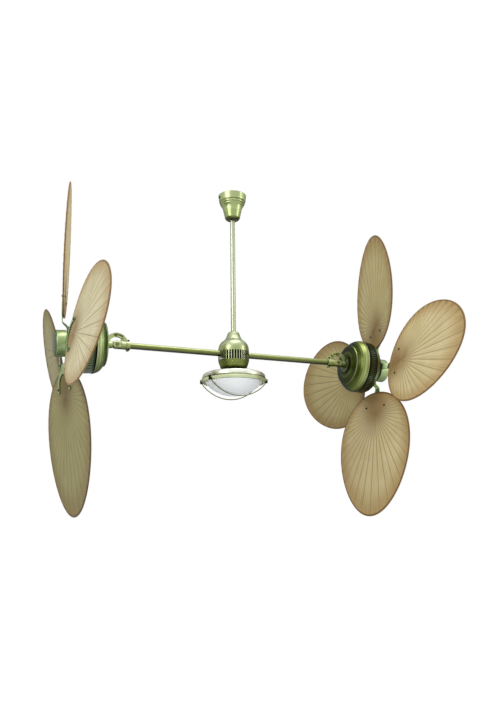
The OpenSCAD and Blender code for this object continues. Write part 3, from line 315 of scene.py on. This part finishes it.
def in_head(g, side_name, vector, kind):
    """Parts of a place (POINT, in mm) or of a direction (VECTOR) in the head's own frame."""
    place, turn, scale = head_frame(side_name).inverted().decompose()
    made = g.node("Mapping", vector_type=kind)
    g.feed(made.inputs["Vector"], vector)
    g.feed(made.inputs["Rotation"], turn.to_euler())
    if kind == "POINT":
        g.feed(made.inputs["Location"], place)
        g.feed(made.inputs["Scale"], scale)
    return g.parts(made.outputs[0])


# ---------------------------------------------------------------- tones of the brass

# Painted light and shade by which way the brass faces, lighter facing up and darker facing down: each
# tone with the height of the normal at which it is pure
BRASS_TONES = (
    (0.4, "AAB48F"), (0.0, "A1AC78"), (-0.2, "98A56B"), (-0.4, "788248"),
    (-0.6, "555B1A"), (-0.9, "22260D"),
)
BAND_TONES = ((0.3, "AAB38C"), (-0.2, "A2AF78"), (-0.9, "6F7C44"))
JOINT_TONES = ((0.4, "C2CCA0"), (0.0, "AEBB7C"), (-0.4, "808C4A"), (-0.9, "343C18"))
COVER_TONES = (
    (0.3, "959F65"), (-0.05, "8A9458"), (-0.3, "788244"), (-0.6, "555B1A"),
    (-0.9, "22260D"),
)
PALE_TONES = ((0.5, "B6BAA8"), (0.0, "A8AF94"), (-0.4, "9BA183"), (-0.8, "6B7248"))
PAN_TONES = ((0.3, "E5E8DA"), (0.0, "D6DCC5"), (-0.5, "C9CFB8"), (-0.9, "BEC5AD"))
RING_TONES = ((0.3, "DADFC0"), (0.0, "C6CC9E"), (-0.5, "BAC298"), (-0.9, "AEB690"))
ARM_TONES = ((0.75, "ACB282"), (0.3, "929C5B"), (-0.3, "626B31"), (-0.75, "1F260C"))
IRON_TONES = ((0.5, "C2D3A5"), (0.0, "ACC28C"), (-0.6, "6E8950"))

# Painted light and shade on the heads' brass, by how far it faces out along the motor: front, side and
# back; each head has its own copy, as light falls on each differently
SHELL_TONES = {
    "left": (
        (0.85, "657359"), (0.45, "98A47D"), (0.05, "A7AB81"), (-0.25, "AEBA87"),
        (-0.5, "91A16A"), (-0.75, "6B8146"), (-0.97, "475428"),
    ),
    "right": (
        (0.85, "657359"), (0.45, "98A47D"), (0.05, "A79E75"), (-0.25, "B2BC84"),
        (-0.5, "8C9853"), (-0.75, "424C1C"), (-0.97, "3A421C"),
    ),
}
# Painted light and shade on the hub caps, by how far they face out along the motor
CAP_TONES = (
    (0.8, "66754A"), (0.6, "3E4C32"), (0.3, "A5B783"), (-0.3, "AABC88"),
    (-0.8, "4C5930"),
)

# What every brass has: a tint where it is worn, painted shade in its corners, and a tint at grazing
# angles
WORN_TINT = "8E9A50"
PAINTED_CORNER_SHADE = "1A1F0C"
GRAZING_TINT = "3A4520"


def toned(g, level, tones):
    """Colour that follows a level through the tones, which are given from high to low."""
    (high, text), *rest = tones
    colour = rgb(text)
    for low, text in rest:
        colour = g.tint(colour, g.ramp(level, low, high, to_low=1.0, to_high=0.0, smooth=False), text)
        high = low
    return colour


def aged(g, colour, roughness=0.34, worn=0.3, crevice=0.008, dark=0.85, coat=0.45):
    """Lacquered brass of a given tone: cloudy, with painted shade in its corners, and a soft white
    gloss.
    """
    place = g.place()
    cloud = g.ramp(g.noise(place, 14.0, detail=4.0, roughness=0.6), 0.4, 0.75)
    colour = g.tint(colour, g.times(cloud, worn), WORN_TINT, "MULTIPLY")
    # painted shade: darker where other surfaces close in, as strong as dark says
    colour = g.tint(colour, g.times(g.crevice(crevice), dark), PAINTED_CORNER_SHADE)
    haze = g.noise(place, 60.0, detail=2.0)
    return g.surface(
        Base_Color=colour,
        Metallic=0.9,
        Roughness=g.ramp(haze, 0.3, 0.7, to_low=roughness - 0.04, to_high=roughness + 0.06),
        Specular_Tint=rgb(GRAZING_TINT),
        Coat_Weight=coat,
        Coat_Roughness=0.2,
        Normal=g.bump(cloud, distance=0.0002, strength=0.25),
    )


def brass(name, tones=BRASS_TONES, **values):
    """Antique brass with painted light and shade: lighter where it faces up, darker where it faces down.
    """
    g = Graph(name)
    return aged(g, toned(g, g.parts(g.normal())[2], tones), **values)


# ---------------------------------------------------------------- brass of single nodes

# Heights in metres between which the canopy's bottom, with strong painted shade, gives way to its band,
# painted paler
CANOPY_SHADED_TOP = -0.085
CANOPY_BAND_BOTTOM = -0.07

# Bars of the hub's vent band, and the share of a bar that lies before the X axis
VENT_BARS = 36
VENT_START = 0.5

# Places along a head's axis, in its millimetres
FLANGE_START = 38.0
SEAM_END = 103.5
RIBS_START = 111.0
RIBS_END = 131.0

# Ribs round the vented ring, painted light with painted shade between them, and the ring on the step of
# the flat back, painted lighter: its radius and half its width
MOTOR_RIBS = 80
STEP_RADIUS = 54.0
STEP_FADE = 9.0


def canopy_brass():
    """Painted light and shade on the canopy: a band painted paler round it, over its round bottom
    painted darker where it faces down.
    """
    g = Graph("canopy_brass")
    level = g.parts(g.normal())[2]
    height = g.parts(g.place())[2]
    # painted light and shade: the band's tones are paler than the bottom's
    band = g.ramp(height, CANOPY_SHADED_TOP, CANOPY_BAND_BOTTOM)
    colour = g.blend(band, toned(g, level, BRASS_TONES), toned(g, level, BAND_TONES))
    return aged(g, colour, crevice=0.003, dark=0.15)


def shell_brass(side_name):
    """Brass turned about the motor's axis, with painted light and shade: flat back painted dark, side
    painted bright, painted shade underneath and where it faces back, a lighter painted ring on the
    back's step, fine lathe rings.
    """
    g = Graph(f"{side_name}_shell_brass")
    out, _, _ = in_head(g, side_name, g.normal(), "VECTOR")
    _, y, z = in_head(g, side_name, g.place(), "POINT")
    radius = g.hypot(y, z)
    _, away, level = g.parts(g.normal())
    colour = toned(g, out, SHELL_TONES[side_name])
    # painted shade: darker underneath, and darker where it faces back (+Y)
    colour = g.tint(colour, g.ramp(level, -0.95, -0.1, to_low=0.75, to_high=0.0), "3A4218")
    colour = g.tint(colour, g.ramp(away, 0.05, 0.6, to_low=0.0, to_high=0.6), "2A3014")
    # a lighter ring painted on the back's step, standing in for the light it catches
    step = g.ramp(g.size(g.minus(radius, STEP_RADIUS)), 0.0, STEP_FADE, to_low=1.0, to_high=0.0)
    step = g.times(step, g.ramp(out, -0.95, -0.85, to_low=0.55, to_high=0.0))
    colour = g.tint(colour, step, "6E7A38")
    rings = g.ramp(g.noise(g.vector(radius), 0.5, detail=2.0), 0.4, 0.65)
    colour = g.tint(colour, g.times(rings, 0.35), "7A8444", "MULTIPLY")
    return aged(g, colour, coat=0.15)


def vent_ring_metal(side_name):
    """Green black ring: a black seam, a smooth lip, then ribs painted light, with painted shade between
    them where the slots are.
    """
    g = Graph(f"{side_name}_vent_ring")
    x, y, z = in_head(g, side_name, g.place(), "POINT")
    # ribs painted light, with painted shade between them where the slots are
    rib = g.ramp(g.from_middle(g.repeats(y, z, MOTOR_RIBS)), 0.1, 0.28, to_low=1.0, to_high=0.0)
    colour = g.tint(rgb("141A12"), rib, "6A785E")
    colour = g.tint(colour, g.ramp(x, RIBS_END - 1, RIBS_END, to_low=0.0, to_high=0.8), "283424")
    colour = g.tint(colour, g.ramp(x, RIBS_START - 1, RIBS_START, to_low=1.0, to_high=0.0), "2C3626")
    colour = g.tint(colour, g.ramp(x, SEAM_END, SEAM_END + 1, to_low=1.0, to_high=0.0), "070906")
    roughness = g.ramp(rib, 0.0, 1.0, to_low=0.5, to_high=0.35)
    return g.surface(Base_Color=colour, Metallic=1.0, Roughness=roughness)


def cap_brass(side_name):
    """Hub cap with painted light and shade by which way it faces: pale green sides, a dark turned
    corner, an olive face, and painted shade underneath.
    """
    g = Graph(f"{side_name}_hub_cap")
    out, _, _ = in_head(g, side_name, g.normal(), "VECTOR")
    level = g.parts(g.normal())[2]
    colour = toned(g, out, CAP_TONES)
    # painted shade: darker underneath
    colour = g.tint(colour, g.ramp(level, -0.9, 0.1, to_low=0.7, to_high=0.0), "3A4A20")
    return aged(g, colour, coat=0.3)


def knuckle_brass(side_name):
    """Stem and barrel with painted light and shade by which way they face, and painted shade on the
    flange where it meets the motor.
    """
    g = Graph(f"{side_name}_knuckle")
    x, _, _ = in_head(g, side_name, g.place(), "POINT")
    colour = toned(g, g.parts(g.normal())[2], JOINT_TONES)
    # painted shade on the flange, next to the motor's back
    colour = g.tint(colour, g.ramp(x, FLANGE_START - 1, FLANGE_START), "4A5226")
    return aged(g, colour, crevice=0.006)


def vent_band_brass():
    """Slotted band with painted light and shade: a painted highlight along the middle of each bar,
    falling off to painted shade at the slots.
    """
    g = Graph("vent_band")
    x, y, _ = g.parts(g.place())
    bars = g.plus(g.repeats(y, x, VENT_BARS), VENT_START)
    # painted highlight on each bar's middle, painted shade towards the slots
    bar_highlight = g.ramp(g.from_middle(bars), 0.08, 0.22, to_low=1.0, to_high=0.0)
    colour = g.tint(rgb("323A20"), bar_highlight, "B4BE94")
    return aged(g, colour, worn=0.1, crevice=0.002, coat=0.1)


# ---------------------------------------------------------------- other materials


def dark_metal(name, text, roughness=0.4):
    """Screws, clips and castings: blackened or plain, with a fine grain."""
    g = Graph(name)
    place = g.place()
    colour = rgb(text)
    return g.surface(
        Base_Color=g.blend(g.noise(place, 60.0), colour, scaled_colour(colour, 0.5)),
        Metallic=0.9,
        Roughness=g.ramp(g.noise(place, 200.0), 0.3, 0.7, to_low=roughness, to_high=roughness + 0.15),
        Normal=g.bump(g.noise(place, 700.0), distance=0.00005, strength=0.6),
    )


def steel():
    """Bright steel with fine upright marks."""
    g = Graph("steel")
    marks = g.noise(g.scaled(g.place(), (900, 900, 40)), 1.0, detail=2.0)
    return g.surface(
        Base_Color=g.blend(marks, rgb("8E9196"), rgb("B4B6BA")),
        Metallic=1.0,
        Roughness=g.ramp(marks, 0.3, 0.7, to_low=0.25, to_high=0.4),
    )


def cast(name, text):
    """Grey iron with a grain."""
    g = Graph(name)
    grains = g.noise(g.place(), 420.0, detail=4.0, roughness=0.7)
    colour = rgb(text)
    return g.surface(
        Base_Color=g.blend(grains, colour, scaled_colour(colour, 1.5)),
        Metallic=0.7,
        Roughness=0.55,
        Normal=g.bump(grains, distance=0.0002, strength=0.7),
    )


def ceramic():
    """White glazed porcelain of the lamp holders."""
    g = Graph("ceramic")
    spots = g.noise(g.place(), 90.0)
    return g.surface(
        Base_Color=g.blend(spots, rgb("E9E6DC"), rgb("D9D4C6")),
        Roughness=0.3,
        Normal=g.bump(spots, distance=0.0001, strength=0.3),
        Coat_Weight=0.4,
    )


def frosted_glass(name, colour, edge):
    """White frosted glass, with painted shade that greys it towards its outline."""
    g = Graph(name)
    place = g.place()
    # painted shade: the colour greys where the surface turns away from the view
    rim = g.node("LayerWeight")
    rim.inputs["Blend"].default_value = 0.35
    tone = g.blend(rim.outputs["Facing"], rgb(colour), rgb(edge))
    tone = g.tint(tone, g.times(g.noise(place, 12.0), 0.2), edge)
    return g.surface(
        Base_Color=tone,
        Roughness=0.42,
        Transmission_Weight=0.12,
        IOR=1.45,
        Normal=g.bump(g.noise(place, 700.0, detail=2.0), distance=0.000005, strength=0.3),
        Coat_Weight=0.2,
        Coat_Roughness=0.3,
    )


# ---------------------------------------------------------------- the leaves' material

# Painted light and shade per blade: lit and shaded copies of the leaf, each keeping this much of the
# tan's red, green and blue
LEAF_PAINTED_LIGHT = {
    "pale": (0.92, 1.0, 1.15),
    "tan": (1.03, 1.03, 1.0),
    "brown": (0.75, 0.76, 0.63),
    "olive": (0.43, 0.47, 0.34),
}
# Which painted light or shade each blade gets, by how light falls on it
LEAF_LIGHT_BY_BLADE = {
    "left": ("tan", "olive", "olive", "pale"),
    "right": ("brown", "tan", "tan", "brown"),
}

PLEATS = 48

# The brown smudge round the root, in metres along the blade and across it
SMUDGE_CENTRE = 0.165
SMUDGE_LENGTH = 0.135
SMUDGE_WIDTH = 0.115

# Shares of the way from the pleats' centre to the edge: browning begins, binding begins
BROWN_START = 0.72
BINDING_START = 0.993
BINDING_FULL = 0.999


def leaf(name, shade):
    """Dried palm leaf: smooth tan, thin dark ribs that spread from the root, a brown bound edge."""
    g = Graph("palm_leaf_painted_light_" + name)
    ray, reach, _ = g.parts(g.map("spread"))
    flat = g.map("flat")
    along, across, _ = g.parts(flat)
    fibres = g.noise(g.vector(g.times(ray, 700.0), g.times(reach, 7.0)), 1.0, detail=3.0, roughness=0.6)
    strands = g.noise(g.vector(g.times(ray, 96.0), g.times(reach, 2.0)), 1.0, detail=2.0)
    cloud = g.ramp(g.noise(flat, 9.0, detail=3.0, roughness=0.5), 0.3, 0.7)
    colour = g.blend(cloud, rgb("D8C79C"), rgb("CDBD8C"))
    colour = g.tint(colour, g.times(g.ramp(strands, 0.4, 0.7), 0.3), "B9A673")
    colour = g.tint(colour, g.times(g.ramp(fibres, 0.35, 0.75), 0.18), "A58E5C")
    # an uneven dark rib runs along every fold that is a valley when seen from the motor
    fold = g.from_middle(g.plus(g.times(ray, float(PLEATS)), 0.5))
    off = g.times(fold, g.plus(reach, 0.1))
    rib = g.ramp(off, 0.012, 0.065, to_low=1.0, to_high=0.0)
    rib = g.times(rib, g.ramp(strands, 0.25, 0.7, to_low=0.85, to_high=0.5))
    colour = g.tint(colour, rib, "5E4E2E")
    # towards the edge, strands of painted shade stand in for finer folds that the mesh doesn't have
    fine = g.ramp(g.math("FRACT", g.times(ray, 4.0 * PLEATS)), 0.2, 0.8)
    fine = g.times(fine, g.ramp(reach, 0.35, 0.95, to_low=0.0, to_high=0.3))
    colour = g.tint(colour, fine, "9C8854")
    # the smudge is an oval with a frayed border
    frayed = g.minus(strands, 0.5)
    far = g.hypot(
        g.math("DIVIDE", g.minus(along, SMUDGE_CENTRE), SMUDGE_LENGTH),
        g.math("DIVIDE", across, SMUDGE_WIDTH),
    )
    far = g.plus(far, g.times(frayed, 0.5))
    colour = g.tint(colour, g.ramp(far, 0.1, 1.3, to_low=0.8, to_high=0.0), "84622F")
    # the leaf browns towards its bound edge
    inward = g.plus(reach, g.times(frayed, 0.05))
    colour = g.tint(colour, g.ramp(inward, BROWN_START, 1.0, to_low=0.0, to_high=0.65), "A27E46")
    colour = g.tint(colour, g.ramp(reach, BINDING_START, BINDING_FULL), "7A5A2A")
    # painted light and shade: each blade's copy is multiplied by its own factor
    colour = g.blend(1.0, colour, (*shade, 1.0), "MULTIPLY")
    return g.surface(
        Base_Color=colour,
        Roughness=g.ramp(fibres, 0.3, 0.7, to_low=0.55, to_high=0.7),
        Normal=g.bump(fibres, distance=0.00006, strength=0.3),
    )


# ---------------------------------------------------------------- leaves, in the blade's own millimetres

# The outline, which is wider towards the tip by the egg's share
TIP_RADIUS = 660.0
BLADE_LENGTH = 555.5
BLADE_WIDTH = 432.0
BLADE_EGG = 0.127
BLADE_ROOT = TIP_RADIUS - BLADE_LENGTH

# The blades' place along the motor's axis, and their angles in degrees
BLADE_COUNT = 4
BLADE_PLANE = 212.3
BLADE_PITCH = 11.0
BLADE_SWEEP = 3.4
BLADE_PHASE = -1.6

# Half the leaf's thickness
LEAF_HALF = 1.8

# Pleats: half their height at the edge, their centre, and where and how high they start
PLEAT_HALF = 1.6
PLEAT_CENTRE = 205.0
PLEAT_START = 26.0
START_SHARE = 0.35

# The binding: half its thickness, its width, how far it laps on past the pleats, its roundness
EDGE_HALF = 2.6
EDGE_WIDTH = 9.0
EDGE_LAP = 1.0
EDGE_POWER = 0.6

# How finely the mesh follows all this; the first ring is drawn in to a share of a ring's width
STEPS_PER_FOLD = 3
RAYS = PLEATS * 2 * STEPS_PER_FOLD
RINGS = 12
FIRST_RING = 0.15
EDGE_STEPS = 6
HALVINGS = 40


def blade_frame(side_name, index):
    return (
        head_frame(side_name)
        @ Matrix.Translation((BLADE_PLANE, 0, 0))
        @ turned(BLADE_PHASE + 360 / BLADE_COUNT * index, "X")
        @ turned(-BLADE_SWEEP, "Y")
        @ turned(-BLADE_PITCH, "Z")
    )


def outline(t):
    """A point of the leaf's outline: along the blade and across it."""
    u = BLADE_ROOT + BLADE_LENGTH * (1 - math.cos(t)) / 2
    v = BLADE_WIDTH / 2 * math.sin(t) * (1 + BLADE_EGG * math.cos(t))
    return u, v


def outline_at(angle):
    """The outline's parameter at an angle round the pleat centre, by halving; 0 is towards the tip."""
    low, high = 0.0, math.pi
    for _ in range(HALVINGS):
        middle = (low + high) / 2
        u, v = outline(middle)
        if math.atan2(v, u - PLEAT_CENTRE) > angle:
            low = middle
        else:
            high = middle
    return (low + high) / 2


def rim_point(k):
    """Where a ray meets the leaf's outline, from the pleat centre."""
    angle = 2 * math.pi * k / RAYS
    mirrored = angle > math.pi
    u, v = outline(outline_at(2 * math.pi - angle if mirrored else angle))
    return u - PLEAT_CENTRE, -v if mirrored else v


def fold_height(k, r, inner):
    """How high a ray stands at a distance from the pleat centre: up on ridges, down in valleys."""
    phase = (k % (2 * STEPS_PER_FOLD)) / (2 * STEPS_PER_FOLD)
    if r < PLEAT_START:
        grow = START_SHARE * r / PLEAT_START
    else:
        grow = START_SHARE + (1 - START_SHARE) * (r - PLEAT_START) / (inner - PLEAT_START)
    return PLEAT_HALF * min(1.0, grow) * (4 * abs(phase - 0.5) - 1)


def leaf_points():
    """The leaf's points, their two maps, and for each ray its front, back and edge point numbers."""
    points, spread, flat = [], [], []

    def add(u, v, x, ray, reach):
        points.append((x, -v, u))
        spread.append((ray, reach))
        flat.append((u * MM, v * MM))
        return len(points) - 1

    rows = []
    for k in range(RAYS):
        du, dv = rim_point(k)
        length = math.hypot(du, dv)
        inner = length - EDGE_WIDTH
        ray = k / RAYS
        front, back, edge = [], [], []
        for ring in range(RINGS + 1):
            share = (ring + FIRST_RING) / (RINGS + FIRST_RING)
            r = inner * share
            height = fold_height(k, r, inner)
            u, v = PLEAT_CENTRE + du * r / length, dv * r / length
            front.append(add(u, v, height + LEAF_HALF, ray, share * 0.99))
            back.append(add(u, v, height - LEAF_HALF, ray, share * 0.99))
        for step in range(EDGE_STEPS + 1):
            a = math.pi * step / EDGE_STEPS
            bulge = math.sin(a) ** EDGE_POWER if 0 < step < EDGE_STEPS else 0.0
            r = inner + EDGE_LAP + (EDGE_WIDTH - EDGE_LAP) * bulge
            u, v = PLEAT_CENTRE + du * r / length, dv * r / length
            edge.append(add(u, v, EDGE_HALF * math.cos(a), ray, 1.0))
        rows.append((front, back, edge))
    centres = [add(PLEAT_CENTRE, 0, x, 0, 0) for x in (LEAF_HALF, -LEAF_HALF)]
    return points, spread, flat, rows, centres


def leaf_faces(rows, centres):
    """A front and a back of folds round the pleat centre, closed by the flat oval of the binding."""
    centre_front, centre_back = centres
    faces = []
    for k in range(RAYS):
        front, back, edge = rows[k]
        next_front, next_back, next_edge = rows[(k + 1) % RAYS]
        faces.append((centre_front, next_front[0], front[0]))
        faces.append((centre_back, back[0], next_back[0]))
        for ring in range(RINGS):
            faces.append((front[ring], next_front[ring], next_front[ring + 1], front[ring + 1]))
            faces.append((back[ring], back[ring + 1], next_back[ring + 1], next_back[ring]))
        loop = [front[RINGS], *edge, back[RINGS]]
        next_loop = [next_front[RINGS], *next_edge, next_back[RINGS]]
        for i in range(len(loop) - 1):
            faces.append((loop[i], next_loop[i], next_loop[i + 1], loop[i + 1]))
    return faces


def fix_seam(mesh):
    """Where the rays' numbers wrap from 1 to 0, the last strip runs on to 1."""
    layer = mesh.uv_layers["spread"]
    for polygon in mesh.polygons:
        rays = [layer.data[i].uv[0] for i in polygon.loop_indices]
        if max(rays) - min(rays) > 0.5:
            for i in polygon.loop_indices:
                if layer.data[i].uv[0] < 0.5:
                    layer.data[i].uv[0] += 1.0


def make_leaves():
    points, spread, flat, rows, centres = leaf_points()
    faces = leaf_faces(rows, centres)
    materials = {name: leaf(name, shade) for name, shade in LEAF_PAINTED_LIGHT.items()}
    for side_name in SIDES:
        for index in range(BLADE_COUNT):
            node = f"{side_name}_blade_{index + 1}"
            mesh = bpy.data.meshes.new(node + "_leaf")
            mesh.from_pydata(points, [], faces)
            for name, values in (("spread", spread), ("flat", flat)):
                layer = mesh.uv_layers.new(name=name)
                for loop in mesh.loops:
                    layer.data[loop.index].uv = values[loop.vertex_index]
            fix_seam(mesh)
            mesh.transform(blade_frame(side_name, index))
            mesh.shade_smooth()
            mesh.update()
            mesh.materials.append(materials[LEAF_LIGHT_BY_BLADE[side_name][index]])
            piece = bpy.data.objects.new(node + "_leaf", mesh)
            bpy.context.scene.collection.objects.link(piece)
            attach(piece, side_name + "_rotor")
            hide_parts(node)


# ---------------------------------------------------------------- flange screws, in a head's millimetres

# A head's size; its foot, without the slot, takes up a share of its height
SCREW_RADIUS = 3.6
SCREW_HEIGHT = 2.2
SCREW_SLOT = 1.0
SCREW_FOOT = 0.45
SCREW_ROUND_STEPS = 24
SCREW_ARC_STEPS = 14

# Bevels, which are as wide as they are high at the reach from the axis
FOOT_BEVEL = 0.1
TOP_BEVEL = 0.4
BEVEL_REACH = 3.0

# The circle that the screws sit on, their angles, and how much further each slot is turned
SCREW_CIRCLE = 26.0
SCREW_ANGLES = (60, 120, 240, 300)
SCREW_TURN = 25


def prism(points, faces, base, bevel, low, high):
    """Adds a closed block over a flat outline; its top is drawn in towards the axis."""
    start = len(points)
    count = len(base)
    inward = 1 - bevel / BEVEL_REACH
    points.extend((u, v, low) for u, v in base)
    points.extend((u, v, high - bevel) for u, v in base)
    points.extend((u * inward, v * inward, high) for u, v in base)
    faces.append(tuple(reversed(range(start, start + count))))
    for lower in (start, start + count):
        upper = lower + count
        for i in range(count):
            j = (i + 1) % count
            faces.append((lower + i, lower + j, upper + j, upper + i))
    faces.append(tuple(range(start + 2 * count, start + 3 * count)))


def screw_mesh():
    """A screw head: a round foot and two half discs that leave a slot between them."""
    points, faces = [], []
    foot = SCREW_HEIGHT * SCREW_FOOT
    ring = [2 * math.pi * i / SCREW_ROUND_STEPS for i in range(SCREW_ROUND_STEPS)]
    base = [(SCREW_RADIUS * math.cos(a), SCREW_RADIUS * math.sin(a)) for a in ring]
    prism(points, faces, base, FOOT_BEVEL, low=0.0, high=foot)
    first = math.asin(SCREW_SLOT / 2 / SCREW_RADIUS)
    step = (math.pi - 2 * first) / SCREW_ARC_STEPS
    arc = [first + step * i for i in range(SCREW_ARC_STEPS + 1)]
    for radius in (SCREW_RADIUS, -SCREW_RADIUS):
        half = [(radius * math.cos(a), radius * math.sin(a)) for a in arc]
        prism(points, faces, half, TOP_BEVEL, low=foot, high=SCREW_HEIGHT)
    return points, faces


def make_flange_screws():
    points, faces = screw_mesh()
    material = dark_metal("screw_metal", "8A946E", 0.3)
    for side_name in SIDES:
        for number, angle in enumerate(SCREW_ANGLES, 1):
            name = f"{side_name}_flange_screw_{number}"
            mesh = bpy.data.meshes.new(name)
            mesh.from_pydata(points, [], faces)
            mesh.transform(
                head_frame(side_name)
                @ turned(angle, "X")
                @ Matrix.Translation((FLANGE_START, 0, SCREW_CIRCLE))
                @ turned(-90, "Y")
                @ turned(SCREW_TURN * number, "Z")
            )
            mesh.materials.append(material)
            piece = bpy.data.objects.new(name, mesh)
            bpy.context.scene.collection.objects.link(piece)
            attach(piece, side_name + "_head")


# ---------------------------------------------------------------- dressing the carried-over nodes

# Faces that meet at less than this many degrees look like one round surface
SHARP_ANGLE = 27


def dress(material, *names):
    """Gives CAD nodes their material and soft shading, and leaves their shapes alone."""
    for name in names:
        mesh = nodes[name].data
        mesh.shade_smooth()
        mesh.set_sharp_from_angle(angle=math.radians(SHARP_ANGLE))
        mesh.materials.clear()
        mesh.materials.append(material)


def both(*names):
    return [f"{side_name}_{name}" for side_name in SIDES for name in names]


def dress_brass():
    dress(canopy_brass(), "canopy")
    dress(brass("turned_brass", crevice=0.004, dark=0.45), "rod_ferrule", "upper_cover")
    dress(brass("cover_brass", COVER_TONES, roughness=0.42, coat=0.2), "lower_cover")
    dress(brass("pan_brass", PAN_TONES, worn=0.08, crevice=0.003, dark=0.7), "lamp_pan")
    dress(brass("ring_brass", RING_TONES, worn=0.15, dark=0.9, coat=0.2), "retaining_ring")
    dress(vent_band_brass(), "vent_band")
    dress(brass("pale_brass", PALE_TONES, worn=0.08), "down_rod")
    dress(brass("tube_brass", ARM_TONES, worn=0.2), *both("arm"), "guard_wires")
    dress(brass("joint_brass", JOINT_TONES, crevice=0.006), *both("fork", "clamp_collar"))
    dress(brass("iron_brass", IRON_TONES, roughness=0.36, worn=0.2), *both("blade_irons"))
    for side_name in SIDES:
        shell = shell_brass(side_name)
        dress(shell, side_name + "_back_shell", side_name + "_front_shell")
        dress(cap_brass(side_name), side_name + "_hub_cap")
        dress(vent_ring_metal(side_name), side_name + "_vent_ring")
        dress(knuckle_brass(side_name), side_name + "_knuckle")


def dress_others():
    dark = dark_metal("dark_metal", "2B2F1C")
    dress(dark, "canopy_screws", "hub_screws", "wire_clips", *both("blade_screws", "flywheel"))
    dress(dark_metal("bolt_metal", "7C8664", 0.3), "knuckle_bolts")
    dress(dark_metal("dark_steel", "3A3D3A"), "arm_junction", "light_nipple")
    dress(steel(), "hanger_bracket", "hanger_ball", "rod_pins", *both("shaft", "bearings"))
    dress(cast("stator", "3A3B3D"), *both("stator"))
    dress(cast("rotor_core", "77797C"), *both("rotor_core"))
    dress(ceramic(), "lamp_holders")
    dress(frosted_glass("frosted_glass", "F4F6F6", "C4CCD2"), "glass_bowl")
    dress(frosted_glass("bulb_glass", "F2F1EA", "D8D6CC"), "bulbs")


# ---------------------------------------------------------------- the scene

make_camera()
make_world()
make_floor()
make_lights()
dress_brass()
dress_others()
make_leaves()
make_flange_screws()

bpy.context.scene.view_settings.view_transform = "Standard"
